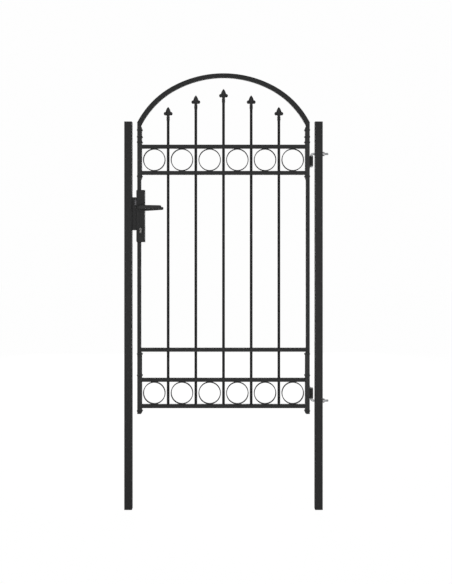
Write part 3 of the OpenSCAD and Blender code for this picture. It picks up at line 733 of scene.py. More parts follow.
g = Geo()
for side in (-1, 1):
    cx = side * STILE_X
    prof = [(TUBE - 4.2, 1.0, LEAF_Z0 + 14), (TUBE - 3.4, 1.2, LEAF_Z0 + 13), (TUBE - 3.4, 1.2, LEAF_Z0 + PLUG_T), (TUBE - 0.2, 2.1, LEAF_Z0 + PLUG_T), (TUBE, 2.2, LEAF_Z0 + 1.7), (TUBE, 2.2, LEAF_Z0 + 0.8), (TUBE - 0.4, 2.1, LEAF_Z0 + 0.3), (TUBE - 1.4, 1.8, LEAF_Z0)]
    g.loft([[(x, y, z) for x, y in rrect(w, w, r, 4, cx)] for w, r, z in prof])
piece("stile_plugs", g, PLASTIC, "leaf", ["stile_foot_plugs"], sharp=50)


# ornamental castings on the stiles
def sleeve(side, z0, z1, taper0, taper1, beads, name, node):
    g = Geo()
    xi = LW - TUBE
    e_in, e_out = 4.0, 2.4

    def section(k):
        """The casting's U-shaped section; k from 0, nothing, to 1, full depth."""
        a, b = e_in * k, e_out * (0.35 + 0.65 * min(1.0, k * 1.5))
        r = 2.6
        ox0, oy = xi - a, H + b
        pts = [(LW - 0.25, -H - b * 0.2), (LW - 0.5, -H - b * 0.75), (LW - 1.2, -oy)]
        for j in range(5):
            t = math.pi / 2 * j / 4
            pts.append((ox0 + r - r * math.sin(t), -oy + r - r * math.cos(t)))
        for j in range(5):
            t = math.pi / 2 * j / 4
            pts.append((ox0 + r - r * math.cos(t), oy - r + r * math.sin(t)))
        pts += [(LW - 1.2, oy), (LW - 0.5, H + b * 0.75), (LW - 0.25, H + b * 0.2)]
        pts += [(LW - 0.25, H - 0.4), (xi + 0.5, H - 0.4), (xi + 0.5, -H + 0.4), (LW - 0.25, -H + 0.4)]
        return pts
    rows = []

    def row(z, k):
        rows.append([(side * x, y, z) for x, y in section(k)])
    steps = 6
    for j in range(steps + 1):
        t = j / steps
        row(z0 + taper0 * t, max(0.02, 0.5 - 0.5 * math.cos(math.pi * t) if taper0 > 12 else math.sin(math.pi / 2 * t)))
    for j in range(steps + 1):
        t = 1 - j / steps
        row(z1 - taper1 * t, max(0.02, 0.5 - 0.5 * math.cos(math.pi * t) if taper1 > 12 else math.sin(math.pi / 2 * t)))
    g.loft(rows)
    for z in beads:
        # a rounded collar with a fine groove on each side
        prof = [(-1.1, -5.4), (0.15, -5.1), (0.6, -4.6), (0.5, -4.1), (0.9, -4.0)]
        for j in range(11):
            a = math.pi * j / 10
            prof.append((0.9 + 3.4 * math.sin(a) ** 0.75, -3.8 * math.cos(a)))
        prof += [(0.9, 4.0), (0.5, 4.1), (0.6, 4.6), (0.15, 5.1), (-1.1, 5.4)]
        loops = []
        for q, dz in prof:
            kin = e_in + q
            kout = e_out + q * 0.37 if q > 0 else e_out + q
            kext = max(-0.4, q * 0.43 if q > 0 else q * 0.3)
            x_in, x_out, yy = xi - kin, LW + kext, H + kout
            w, d = x_out - x_in, 2 * yy
            loops.append([(side * x, y, z + dz) for x, y in rrect(w, d, max(1.6, 2.8 + q * 0.3), 5, (x_in + x_out) / 2)])
        q = -1.1
        x_in, x_out, yy = xi - 0.2, LW - 0.5, H - 0.4
        w, d = x_out - x_in, 2 * yy
        hollow = [[(side * x, y, z + dz) for x, y in rrect(w, d, 1.2, 5, (x_in + x_out) / 2)] for dz in (5.2, -5.2)]
        g.loft(loops + hollow, ring=True)
    piece(name, g, COAT_CAST, "leaf", [node], sharp=48)


UPPER_BEADS = (1717.5, 1894.0, 1921.5, 1957.0)
LOWER_BEADS = (508.5, 691.5, 801.0)
us, ls = box_mm("latch_upper_sleeve"), box_mm("latch_lower_sleeve")
sleeve(-1, us[4], us[5], 13, 9, UPPER_BEADS, "sleeve_left_top", "latch_upper_sleeve")
sleeve(1, us[4], us[5], 13, 9, UPPER_BEADS, "sleeve_right_top", "hinge_upper_sleeve")
sleeve(-1, ls[4], ls[5], 5, 8, LOWER_BEADS, "sleeve_left_bottom", "latch_lower_sleeve")
sleeve(1, ls[4], ls[5], 5, 8, LOWER_BEADS, "sleeve_right_bottom", "hinge_lower_sleeve")

for node, (x0, x1, y0, y1, z0, z1) in RAILS.items():
    g = Geo()
    box_tube(g, (0, 0, (z0 + z1) / 2), TUBE, TUBE, WALL, 2.2, x0, x1, "x", c=0.25)
    piece("rail_" + node.replace("_rail", ""), g, COAT, "leaf", [node])


# ------------------------------------------------------------------ bars and finials

def bar(g, x, z0, z1, c0=0.5, c1=0.5):
    r, t = BAR_R, 1.2
    g.lathe([(r - c0, z0), (r, z0 + c0), (r, z1 - c1), (r - c1, z1), (r - t, z1), (r - t, z0)], (x, 0, 0), "z", 40, ring=True)


g = Geo()
for i in BARS:
    bar(g, i * PITCH, BAR_SPLIT + 0.15, TIPS[abs(i)] - 54, 0.6)
piece("bars_upper", g, COAT_BAR_SHADED, "leaf", ["upper_bars"], sharp=50)
g = Geo()
for i in BARS:
    bar(g, i * PITCH, box_mm("lower_bars")[4], BAR_SPLIT - 0.15, 0.4, 0.6)
piece("bars_lower", g, COAT_BAR_SHADED, "leaf", ["lower_bars"], sharp=50)


def finial_mesh():
    """One cast spear point, tip at the origin, pointing up. Blade, lobes, necks and collar are fused and smoothed as a casting is."""
    g = Geo()
    outline = [(0.0, 0.4), (1.0, 1.3), (3.0, 3.2), (8.0, 6.8), (13.0, 9.4), (18.0, 11.4), (23.0, 12.9), (28.0, 13.4), (34.0, 12.6), (39.0, 11.0), (43.5, 9.2), (47.0, 7.8), (50.0, 7.0)]
    rows = []
    for d, w in outline:
        t = min(6.0, 0.4 + w * 0.62) if d < 30 else 6.0 + (d - 30) / 20 * 1.2
        edge = min(2.0, 0.25 + w * 0.2) if d < 36 else 2.0 + (d - 36) / 14 * 4.0
        loop = []
        n = 28
        for k in range(n):
            a = 2 * math.pi * k / n
            ca, sa = math.cos(a), math.sin(a)
            x = w * ca
            y = math.copysign((edge * abs(sa) ** 0.35 if abs(sa) > 1e-6 else 0) + (t - edge) * abs(sa) ** 1.35, sa) if abs(sa) > 1e-6 else 0.0
            loop.append((x, y, -d))
        rows.append(loop)
    g.loft(rows)
    for s in (-1, 1):
        # lobe
        prof = [(0.0 if k in (0, 16) else 8.1 * math.sin(math.pi * k / 16), -9.2 * math.cos(math.pi * k / 16)) for k in range(17)]
        g.lathe(prof, (s * 14.8, 0, -35.0), "z", 32)
        # the neck that joins the lobe to the blade
        g.loft([[(s * x, y, z - 34.8) for y, z in rrect(9.5 - 1.5 * q, 14.5 - 2.5 * q, 3.0, 4)] for q, x in ((0.0, 6.0), (0.5, 11.5), (1.0, 16.0))])
    # collar: two rolls and a hollow between them, then the tapered socket
    g.lathe([(0, -75.0), (7.25, -75.0), (7.4, -74.2), (7.9, -69.5), (8.2, -66.5), (8.8, -65.6), (8.8, -63.4), (8.2, -62.2), (8.1, -59.0), (8.2, -56.6), (8.8, -55.6), (8.8, -53.4), (8.2, -52.2), (7.3, -50.6), (7.1, -47.5), (0, -46.0)], (0, 0, 0), "z", 48)
    me = bpy.data.meshes.new("finial_raw")
    me.from_pydata([Vector(p) * 0.001 for p in g.v], [], g.f)
    ob = bpy.data.objects.new("finial_raw", me)
    bpy.context.scene.collection.objects.link(ob)
    m = ob.modifiers.new("fuse", "REMESH")
    m.mode = "VOXEL"
    m.voxel_size = 0.0006
    s = ob.modifiers.new("soften", "SMOOTH")
    s.factor = 0.5
    s.iterations = 4
    dg = bpy.context.evaluated_depsgraph_get()
    out = bpy.data.meshes.new_from_object(ob.evaluated_get(dg))
    verts = [tuple(v.co * 1000) for v in out.vertices]
    faces = [tuple(p.vertices) for p in out.polygons]
    bpy.data.objects.remove(ob)
    bpy.data.meshes.remove(me)
    bpy.data.meshes.remove(out)
    # the smoothing draws the point in a little: put it back at the CAD height
    top = max(v[2] for v in verts)
    verts = [(x, y, z - top * max(0.0, min(1.0, (z + 12) / 12)) if z > -12 else z) for x, y, z in verts]
    return verts, faces


FIN_V, FIN_F = finial_mesh()
for name, node, which in (("finial_centre", "centre_finial", (0,)), ("finials_inner", "inner_finials", (-1, 1)), ("finials_outer", "outer_finials", (-2, 2))):
    g = Geo()
    for i in which:
        z = TIPS[abs(i)]
        g.add([(x + i * PITCH, y, zz + z) for x, y, zz in FIN_V], FIN_F)
    piece(name, g, COAT_CAST, "leaf", [node], sharp=80)


# ------------------------------------------------------------------ rings

def ring_band(g, cx, cz, r_out, t, half):
    """Flat bar with rounded arrises, rolled on edge; its two ends butt at the weld on the lower rail."""
    c = 0.9
    prof = []
    for sy, sr in ((-1, 1), (1, 1), (1, -1), (-1, -1)):
        ry, rr = sy * (half - c), (r_out - c if sr > 0 else r_out - t + c)
        a0 = {(-1, 1): 180, (1, 1): 90, (1, -1): 0, (-1, -1): 270}[(sy, sr)]
        for k in range(4):
            a = math.radians(a0 - 90 * k / 3)
            prof.append((rr + c * math.sin(a) * 1.0, ry + c * math.cos(a) * 1.0))
    n = 112
    rows = []
    for i in range(n):
        a = 2 * math.pi * i / n
        rows.append([(cx + r * math.sin(a), y, cz + r * math.cos(a)) for r, y in prof])
    g.loft(rows, ring=True)


def ring_weld(g, cx, cz, r_out, sgn, half, seed):
    """Fillet in the wedge on each side of the contact between a ring and a rail, running front to back, with ripples."""
    for s in (-1, 1):
        n = 26
        rows = []
        for j in range(n + 1):
            y = -half + 2 * half * j / n
            ph = (j / n * 9.0 + seed) % 1.0
            reach = 15.5 + 0.9 * (1 - ph) + 0.5 * math.sin(3.1 * j + seed)
            if j in (0, n):
                reach -= 2.4
            x0, x1 = 3.0, reach
            pts = []
            zc = cz + sgn * r_out
            for k in range(7):
                x = x0 + (x1 - x0) * k / 6
                pts.append((cx + s * x, y, zc + sgn * 0.25))
            gap = r_out - math.sqrt(max(0.0, (r_out - 0.2) ** 2 - x1 ** 2))
            for k in range(1, 4):
                q = k / 4
                pts.append((cx + s * (x1 - 1.1 * math.sin(math.pi * q)), y, zc - sgn * (gap * q)))
            for k in range(7):
                x = x1 - 0.9 - (x1 - 0.9 - x0) * k / 6
                pts.append((cx + s * x, y, zc - sgn * (r_out - math.sqrt((r_out - 0.35) ** 2 - x ** 2))))
            rows.append(pts)
        g.loft(rows)


for name, node, rt, rb in (("rings_frieze", "frieze_rings", "frieze_rail_top", "frieze_rail_bottom"), ("rings_base", "base_rings", "base_rail_top", "base_rail_bottom")):
    x0, x1, y0, y1, z0, z1 = box_mm(node)
    r_out = (z1 - z0) / 2
    cz = (z0 + z1) / 2
    g, w = Geo(), Geo()
    for i in range(-3, 3):
        cx = (i + 0.5) * PITCH
        ring_band(g, cx, cz, r_out, 4.2, H)
        ring_weld(w, cx, cz, r_out, 1, H - 1.2, i * 0.37)
        ring_weld(w, cx, cz, r_out, -1, H - 1.2, i * 0.53 + 0.4)
    piece(name, g, COAT_BAR_SHADED, "leaf", [node], sharp=50)
    piece("weld_" + name, w, COAT_WELD, "leaf", [], sharp=60)


# ------------------------------------------------------------------ weld beads on the frame

g = Geo()
k = 0
# bars into rails
for node, (x0, x1, y0, y1, z0, z1) in RAILS.items():
    for i in BARS:
        for z, s in ((z1, 1), (z0, -1)):
            if node == "base_rail_bottom" and s < 0:
                continue
            k += 1
            path = [(i * PITCH + (BAR_R + 0.15) * math.cos(2 * math.pi * q / 40), (BAR_R + 0.15) * math.sin(2 * math.pi * q / 40), z + s * 0.15) for q in range(40)]
            bead(g, path, lambda p, s=s, cx=i * PITCH: (p.x - cx, p.y, s * BAR_R), 0.95, 1.35, seed=k * 0.7, step=0.8, sides=6)
piece("weld_bars", g, COAT_WELD, "leaf", [], sharp=70)

g = Geo()
# rails into stiles or castings
for node, (x0, x1, y0, y1, z0, z1) in RAILS.items():
    cz = (z0 + z1) / 2
    for side, xe in ((-1, x0), (1, x1)):
        k += 1
        loop = rrect(TUBE + 0.3, TUBE + 0.3, 2.3, 4)
        path = [(xe - side * 0.2, u, cz + v) for u, v in loop]
        bead(g, path, lambda p, cz=cz, side=side: (-side * 7.0, p.y, p.z - cz), 1.25, 1.7, seed=k * 0.9, step=0.8, sides=6)
# arch on the stiles
for side in (-1, 1):
    k += 1
    loop = rrect(TUBE + 0.1, TUBE + 0.1, 2.2, 4)
    path = [(side * STILE_X + u, v, mitre_z(side * STILE_X + u)) for u, v in loop]
    bead(g, path, lambda p, side=side: (p.x - side * STILE_X, p.y, 0), 0.55, 2.2, seed=k * 1.3, step=0.8, sides=6)
# middle and upper lengths of the latch stile into the lock case
for z, s in ((CASE_Z1, 1), (CASE_Z0, -1)):
    k += 1
    loop = rrect(TUBE + 0.3, TUBE + 0.3, 2.3, 4)
    path = [(-STILE_X + u, v, z + s * 0.2) for u, v in loop]
    bead(g, path, lambda p, s=s: (p.x + STILE_X, p.y, s * 7.0), 1.2, 1.6, seed=k * 1.1, step=0.8, sides=6)
piece("weld_frame", g, COAT_WELD, "leaf", [], sharp=70)


# ------------------------------------------------------------------ hinge barrels

def barrel(name, node, b, gusset_below):
    g = Geo()
    z0, z1 = b[4], b[5]
    r, bore, c = 9.0, 6.25, 0.6
    g.lathe([(r - c, z0), (r, z0 + c), (r, z1 - c), (r - c, z1), (bore + 0.6, z1), (bore, z1 - 0.6), (bore, z0 + 0.6), (bore + 0.6, z0)], (AXIS_X, 0, 0), "z", 56, ring=True)
    # saddle between the barrel and the stile
    g.loft([[(x, y, z) for x, y in ((LW - 0.3, -6.6), (LW + 4.6, -5.0), (LW + 4.6, 5.0), (LW - 0.3, 6.6))] for z in (z0 + 1.5, z1 - 1.5)])
    w = Geo()
    for s in (-1, 1):
        path = [(LW + 1.2, s * 6.4, z0 + 1.0 + (z1 - z0 - 2.0) * q / 24) for q in range(25)]
        bead(w, path, lambda p, s=s: (-0.35, s, 0), 1.7, 2.4, closed=False, step=0.6, seed=s + z0 * 0.01)
    for z, s in ((z0, -1), (z1, 1)):
        if (s < 0) == gusset_below:
            n = 14
            rows = []
            for j in range(n + 1):
                y = -4.6 + 9.2 * j / n
                k = math.sqrt(max(0.02, 1 - (y / 5.0) ** 2))
                rows.append([(LW - 0.4, y, z - s * 1.5), (LW + 2.6 * k + 0.2, y, z - s * 0.8), (LW + 2.3 * k, y, z + s * 3.0 * k), (LW + 1.7 * k, y, z + s * 10.0 * k), (LW + 0.5, y, z + s * 17.0 * k), (LW - 0.4, y, z + s * 18.5 * k)])
            w.loft(rows)
        else:
            path = [(LW + 0.9, -5.2 + 10.4 * q / 12, z - s * 1.2) for q in range(13)]
            bead(w, path, lambda p, s=s: (0.5, 0, s), 1.2, 1.6, closed=False, step=0.6, seed=z * 0.01)
    piece(name, g, COAT, "leaf", [node], sharp=45)
    piece("weld_" + name, w, COAT_WELD, "leaf", [], sharp=70)


barrel("barrel_top", "upper_hinge_barrel", UB, True)
barrel("barrel_bottom", "lower_hinge_barrel", LB, False)


# ------------------------------------------------------------------ lock

CX0, CX1 = CASE[0], CASE[1]
CASE_D = 40.0
CCX, CCZ = (CX0 + CX1) / 2, (CASE_Z0 + CASE_Z1) / 2
CW, CH = CX1 - CX0, CASE_Z1 - CASE_Z0


def case_loop(e=0.0, n=6):
    """The case's front outline, anticlockwise seen from the front: rounded on the latch side."""
    return rrect(CW - 2 * e, CH - 2 * e, (1.0, max(5.0 - e, 0.5), max(5.0 - e, 0.5), 1.0), n, CCX, CCZ)


def circle2(cx, cz, r, n=40, a0=0.0):
    return [(cx + r * math.cos(2 * math.pi * i / n + a0), cz + r * math.sin(2 * math.pi * i / n + a0)) for i in range(n)]


def euro_loop(e=0.0, n=24):
    """Outline of the profile cylinder with offset e: round head above, narrow leg below."""
    r1, r2 = 8.5 + e, 5.0 + e
    zl = KEY_Z - 19.5
    a0 = math.asin(min(1.0, r2 / r1))
    pts = []
    for k in range(n + 1):
        a = -math.pi / 2 + a0 + (2 * math.pi - 2 * a0) * k / n
        pts.append((LOCK_X + r1 * math.cos(a), KEY_Z + r1 * math.sin(a)))
    m = n // 2
    for k in range(m + 1):
        a = math.pi + math.pi * k / m
        pts.append((LOCK_X + r2 * math.cos(a), zl + r2 * math.sin(a)))
    return pts


def holed_plate(outline, holes, y0, y1, name, mats, body, nodes, bevel=0.5):
    """A plate with true openings: filled flat, then given its thickness and a rolled edge."""
    bm = bmesh.new()
    edges = []
    for loop in [outline] + list(holes):
        vs = [bm.verts.new(((x + SX) * 0.001, y0 * 0.001, z * 0.001)) for x, z in loop]
        edges += [bm.edges.new((vs[i], vs[(i + 1) % len(vs)])) for i in range(len(vs))]
    bmesh.ops.triangle_fill(bm, use_beauty=True, use_dissolve=False, edges=edges)
    res = bmesh.ops.extrude_face_region(bm, geom=bm.faces[:])
    vs = [v for v in res["geom"] if isinstance(v, bmesh.types.BMVert)]
    bmesh.ops.translate(bm, verts=vs, vec=(0, (y1 - y0) * 0.001, 0))
    bmesh.ops.recalc_face_normals(bm, faces=bm.faces)
    me = bpy.data.meshes.new(name)
    bm.to_mesh(me)
    bm.free()
    ob = bpy.data.objects.new(name, me)
    bpy.context.scene.collection.objects.link(ob)
    me.materials.append(mats)
    me.shade_smooth()
    me.set_sharp_from_angle(angle=math.radians(35))
    b = ob.modifiers.new("edge", "BEVEL")
    b.width = bevel * 0.001
    b.segments = 3
    b.limit_method = "ANGLE"
    b.angle_limit = math.radians(50)
    w = ob.modifiers.new("flat_faces", "WEIGHTED_NORMAL")
    w.keep_sharp = True
    w.weight = 80
    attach(ob, body)
    if nodes:
        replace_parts(ob, *nodes)
    PIECES.append(ob)
    return ob


HOLES = [circle2(LOCK_X, PIVOT_Z, 12.1, 48), list(reversed(euro_loop(0.35)))]
SH = 2.0
holed_plate(case_loop(), HOLES, -CASE_D / 2, -CASE_D / 2 + SH - 0.15, "lock_cover_plate", COAT, "leaf", ["lock_cover"], 0.6)
holed_plate(case_loop(), HOLES, CASE_D / 2 - SH, CASE_D / 2, "lock_case_back", COAT, "leaf", [], 0.6)


def case_wall():
    """The case's rim between cover and back, with the openings for the bolts in the latch side."""
    g = Geo()
    out, inn = case_loop(0.0), case_loop(SH)
    ya, yb = -CASE_D / 2 + SH + 0.1, CASE_D / 2 - SH + 0.05
    rows = [[(x, ya, z) for x, z in out], [(x, yb, z) for x, z in out], [(x, yb, z) for x, z in inn], [(x, ya, z) for x, z in inn]]
    g.loft(rows, ring=True)
    ob = piece("lock_case_wall", g, COAT, "leaf", ["lock_case"], sharp=35)
    return ob


wall = case_wall()


def cut(ob, boxes):
    """Opens box-shaped holes in a piece, exactly, and applies the cut."""
    g = Geo()
    for x0, x1, y0, y1, z0, z1, r in boxes:
        g.loft([[(x, y, z) for y, z in rrect(y1 - y0, z1 - z0, r, 4, (y0 + y1) / 2, (z0 + z1) / 2)] for x in (x0, x1)])
    me = bpy.data.meshes.new("cutter")
    me.from_pydata([((x + SX) * 0.001, y * 0.001, z * 0.001) for x, y, z in g.v], [], g.f)
    bm = bmesh.new()
    bm.from_mesh(me)
    bmesh.ops.recalc_face_normals(bm, faces=bm.faces)
    bm.to_mesh(me)
    bm.free()
    c = bpy.data.objects.new("cutter", me)
    bpy.context.scene.collection.objects.link(c)
    m = ob.modifiers.new("openings", "BOOLEAN")
    m.operation = "DIFFERENCE"
    m.solver = "EXACT"
    m.object = c
    keep = [x for x in ob.modifiers if x.type != "BOOLEAN"]
    for x in keep:
        x.show_viewport = False
    bpy.context.view_layer.update()
    dg = bpy.context.evaluated_depsgraph_get()
    out = bpy.data.meshes.new_from_object(ob.evaluated_get(dg))
    old = ob.data
    ob.data = out
    out.name = old.name
    bpy.data.meshes.remove(old)
    ob.modifiers.remove(m)
    for x in keep:
        x.show_viewport = True
    bpy.data.objects.remove(c)
    bpy.data.meshes.remove(me)
    out.set_sharp_from_angle(angle=math.radians(35))


LB_ = box_mm("latch_bolt")
DB_ = box_mm("dead_bolt")
KB = box_mm("latch_keeper")
cut(keeper_ob, [(LB_[0] - 1.3, KB[1] + 4, KB[2] - 1, KB[2] + 4, LB_[4] - 1.5, LB_[5] + 1.5, 0.2)])
cut(wall, [(CX0 - 2, CX0 + 4, -7.3, 7.3, LB_[4] - 0.3, LB_[5] + 0.3, 0.8), (CX0 - 2, CX0 + 4, -6.3, 6.3, DB_[4] - 0.3, DB_[5] + 0.3, 0.8), (CX0 - 2, CX0 + 4, -2.6, 2.6, KEY_Z - 20.6, KEY_Z - 15.4, 2.55)])

LUGS = [(CX0 + 7, CASE_Z0 + 8), (CX1 - 7, CASE_Z0 + 8), (CX0 + 7, CASE_Z1 - 8), (CX1 - 7, CASE_Z1 - 8)]
g = Geo()
for x, z in LUGS:
    cross_head(g, (x, -CASE_D / 2, z), "-y", 3.6, 1.4, 2.0, 11.5, 1.9, 0.8, 0.8)
piece("lock_cover_screws_head", g, COAT_WELD, "leaf", ["lock_cover_screws"], sharp=40)

# plastic bushes in which the levers turn
g = Geo()
for s in (-1, 1):
    ax = "y" if s > 0 else "-y"
    g.lathe([(9.1, -4.0), (12.0, -4.0), (12.0, 0.0), (14.2, 0.0), (14.5, 0.3), (14.4, 1.1), (13.9, 1.7), (13.0, 2.0), (10.2, 2.0), (9.5, 1.7), (9.1, 1.2)], (LOCK_X, s * CASE_D / 2, PIVOT_Z), ax, 56, ring=True)
piece("handle_bush_rings", g, PLASTIC, "leaf", ["handle_bushes"], sharp=45)

# profile cylinder, its two halves and the bridge between them
g = Geo()
el = euro_loop(0.0)
for s in (-1, 1):
    y_in, y_out = s * 5.2, s * 27.0
    face = offset(el, -0.4)
    bore = circle2(LOCK_X, KEY_Z, 6.56, len(el), -math.pi / 2 + 0.4)
    rows = [[(x, y_in, z) for x, z in el], [(x, y_out - s * 0.4, z) for x, z in el], [(x, y_out, z) for x, z in face], [(x, y_out, z) for x, z in bore], [(x, y_in, z) for x, z in bore]]
    g.loft(rows, ring=True)
g.loft([[(x, y, z) for x, z in rrect(9.6, 13.5, 1.6, 4, LOCK_X, KEY_Z - 17.6)] for y in (-5.3, 5.3)])
piece("cylinder_body", g, NICKEL_SHADED, "leaf", ["lock_cylinder"], sharp=40)

# raised shield over the cylinder on each face, with an opening that shows the plug; its black plastic is painted shade,
# a dark collar laid over the cylinder's sides where shade falls in the recess
g = Geo()


def stadium(r, n=24):
    """The shield's opening, with as many points as a profile loop."""
    top, low = KEY_Z + 1.6, KEY_Z - 13.4
    m = n // 2
    pts = [(LOCK_X + r * math.cos(math.pi * k / n), top + r * math.sin(math.pi * k / n)) for k in range(n + 1)]
    return pts + [(LOCK_X + r * math.cos(math.pi + math.pi * k / m), low + r * math.sin(math.pi + math.pi * k / m)) for k in range(m + 1)]


for s in (-1, 1):
    y0 = s * CASE_D / 2
    rows = []
    for loop, h in ((euro_loop(3.4), 0.0), (euro_loop(3.3), 0.6), (euro_loop(2.6), 6.6), (euro_loop(2.2), 7.8), (euro_loop(1.2), 8.7), (euro_loop(0.0), 9.0), (stadium(6.4), 9.0), (stadium(5.6), 8.7), (stadium(5.4), 8.2), (stadium(5.4), 7.5), (euro_loop(0.5), 7.5), (euro_loop(0.5), 0.0)):
        rows.append([(x, y0 + s * h, z) for x, z in loop])
    g.loft(rows, ring=True)
piece("cylinder_shield_painted_shade", g, PLASTIC, "leaf", [], sharp=45)

# the plug, with its key slot cut in each face
g = Geo()
for s in (-1, 1):
    n = 48
    yf = s * 27.3

    def slot_loop(w, h, n=48):
        out = []
        for i in range(n):
            a = 2 * math.pi * (i + 0.5) / n
            c, q = math.cos(a), math.sin(a)
            rr = min(w / 2 / max(abs(c), 1e-6), h / 2 / max(abs(q), 1e-6))
            out.append((LOCK_X + rr * c, KEY_Z - 0.6 + rr * q))
        return out

    def cl(r):
        return [(LOCK_X + r * math.cos(2 * math.pi * (i + 0.5) / n), KEY_Z + r * math.sin(2 * math.pi * (i + 0.5) / n)) for i in range(n)]
    rows = [[(x, s * 4.8, z) for x, z in cl(6.5)], [(x, yf - s * 0.3, z) for x, z in cl(6.5)], [(x, yf, z) for x, z in cl(6.2)], [(x, yf, z) for x, z in cl(5.6)], [(x, yf - s * 0.15, z) for x, z in cl(5.4)], [(x, yf - s * 0.15, z) for x, z in slot_loop(2.0, 8.0)], [(x, yf - s * 12.0, z) for x, z in slot_loop(2.0, 8.0)]]
    g.loft(rows)
# cam between the halves
g.lathe([(0, -4.8), (8.0, -4.8), (8.0, 4.8), (0, 4.8)], (LOCK_X, 0, KEY_Z), "y", 48)
ca, sa = math.cos(math.radians(45)), math.sin(math.radians(45))
g.loft([[(LOCK_X + u * ca + v * sa, y, KEY_Z - u * sa + v * ca) for u, v in rrect(5.0, 14.5, 1.4, 3, 0, 7.25)] for y in (-4.5, 4.5)])
piece("plug_and_cam", g, NICKEL_SHADED, "key_plug", ["cylinder_plug"], sharp=40)

g = Geo()
cb = box_mm("cylinder_screw")
cross_head(g, (CX0, 0, KEY_Z - 18), "-x", 4.4, 1.0, 2.5, 20.0, 2.2, 0.8, 0.6)
piece("cylinder_screw_head", g, ZINC, "leaf", ["cylinder_screw"], sharp=40)


# levers: a round neck that swells into a flat grip with a crowned face
def lever(name, node, s):
    g = Geo()
    y_neck0 = CASE_D / 2 - 3.5
    yc = 76.0
    rows = []
    n = 32

    def section(x, hy, zt, zb, p, yoff=0.0):
        """Superellipse in y and z at x: half depth hy, top zt, bottom zb."""
        out = []
        zc, hz = (zt + zb) / 2, (zt - zb) / 2
        for i in range(n):
            a = 2 * math.pi * i / n
            c, q = math.cos(a), math.sin(a)
            out.append((LOCK_X + x, s * (yc + yoff + math.copysign(abs(c) ** (2 / p) * hy, c)), PIVOT_Z + zc + math.copysign(abs(q) ** (2 / p) * hz, q)))
        return out
    stations = [(-10.8, 1.2, 2.0, -2.0, 2.0), (-10.6, 2.8, 4.2, -4.2, 2.1), (-9.8, 4.8, 6.6, -6.6, 2.3), (-8.0, 6.4, 8.8, -8.8, 2.6), (-5.0, 7.5, 10.5, -10.5, 2.9), (0.0, 8.0, 11.6, -11.6, 3.2), (7.0, 8.0, 11.6, -11.6, 3.4), (16.0, 7.7, 11.4, -11.4, 3.6),
                (28.0, 7.1, 11.2, -10.8, 3.8), (44.0, 6.6, 11.0, -9.9, 3.8), (60.0, 6.4, 10.8, -8.9, 3.8), (76.0, 6.4, 10.5, -7.8, 3.8), (90.0, 6.5, 10.2, -6.9, 3.8), (101.5, 6.5, 9.9, -6.2, 3.6), (105.8, 6.3, 9.5, -5.7, 3.3), (108.4, 5.4, 8.4, -4.6, 2.8), (109.6, 3.6, 6.4, -2.6, 2.4), (110.0, 1.6, 4.2, -0.4, 2.0)]
    rows = [section(*st) for st in stations]
    g.loft(rows)
    # neck, seated in the bush, with a shadow groove and a turned shoulder
    g.lathe([(0, y_neck0), (8.7, y_neck0), (9.0, y_neck0 + 0.4), (9.0, 22.6), (8.5, 23.0), (8.5, 23.6), (9.0, 24.1), (9.0, 26.0), (8.6, 31.0), (8.2, 40.0), (8.1, 52.0), (8.3, 60.0), (8.7, 66.0), (8.6, 72.0), (7.6, 76.0), (0, 77.0)], (LOCK_X, 0, PIVOT_Z), "y" if s > 0 else "-y", 48)
    me = bpy.data.meshes.new(name + "_raw")
    me.from_pydata([((x + SX) * 0.001, y * 0.001, z * 0.001) for x, y, z in g.v], [], g.f)
    bm = bmesh.new()
    bm.from_mesh(me)
    bmesh.ops.recalc_face_normals(bm, faces=bm.faces)
    bm.to_mesh(me)
    bm.free()
    ob = bpy.data.objects.new(name + "_raw", me)
    bpy.context.scene.collection.objects.link(ob)
    m = ob.modifiers.new("fuse", "REMESH")
    m.mode = "VOXEL"
    m.voxel_size = 0.0008
    sm = ob.modifiers.new("soften", "SMOOTH")
    sm.factor = 0.5
    sm.iterations = 4
    dg = bpy.context.evaluated_depsgraph_get()
    out = bpy.data.meshes.new_from_object(ob.evaluated_get(dg))
    bpy.data.objects.remove(ob)
    bpy.data.meshes.remove(me)
    g2 = Geo()
    g2.add([(v.co.x * 1000 - SX, v.co.y * 1000, v.co.z * 1000) for v in out.vertices], [tuple(p.vertices) for p in out.polygons])
    bpy.data.meshes.remove(out)
    piece(name, g2, COAT_CAST, "handle", [node], sharp=80)


lever("lever_front", "front_handle", -1)
lever("lever_rear", "rear_handle", 1)

# grub screw under each neck
g = Geo()
for s in (-1, 1):
    at = (LOCK_X, s * (CASE_D / 2 + 14), PIVOT_Z - 8.55)
    socket_head(g, at, "-z", 2.0, 0.35, 1.0, 0.9, 1.9, 4.2)
piece("grub_screws", g, ZINC_SHADED, "handle", ["handle_grub_screws"], sharp=40)

# latch: a bevelled head on a flat tail, in near-black zinc that is painted shade
g = Geo()
x0, x1, y0, y1, z0, z1 = LB_
hx = x0 + 15.5
head = [(x0 + 0.6, y0), (hx, y0), (hx, y1), (x0 + 10.5, y1), (x0, y0 + 4.6), (x0, y0 + 0.6)]
g.loft([[(x, y, z) for x, y in head] for z in (z0, z1)])
nx = LOCK_X - 5.64
g.loft([[(x, y, z) for y, z in rrect(10.0, 12.0, 0.6, 3, 0, z0 + 13.0)] for x in (hx - 0.5, x1)])
for a, b in ((hx - 0.5, nx - 3.8), (nx + 3.8, x1)):
    g.loft([[(x, y, z) for y, z in rrect(10.0, 7.4, 0.4, 3, 0, z0 + 3.7)] for x in (a, b)])
piece("latch_head", g, ZINC_BOLT_SHADED, "latch", ["latch_bolt"], sharp=35, bevel=0.45)

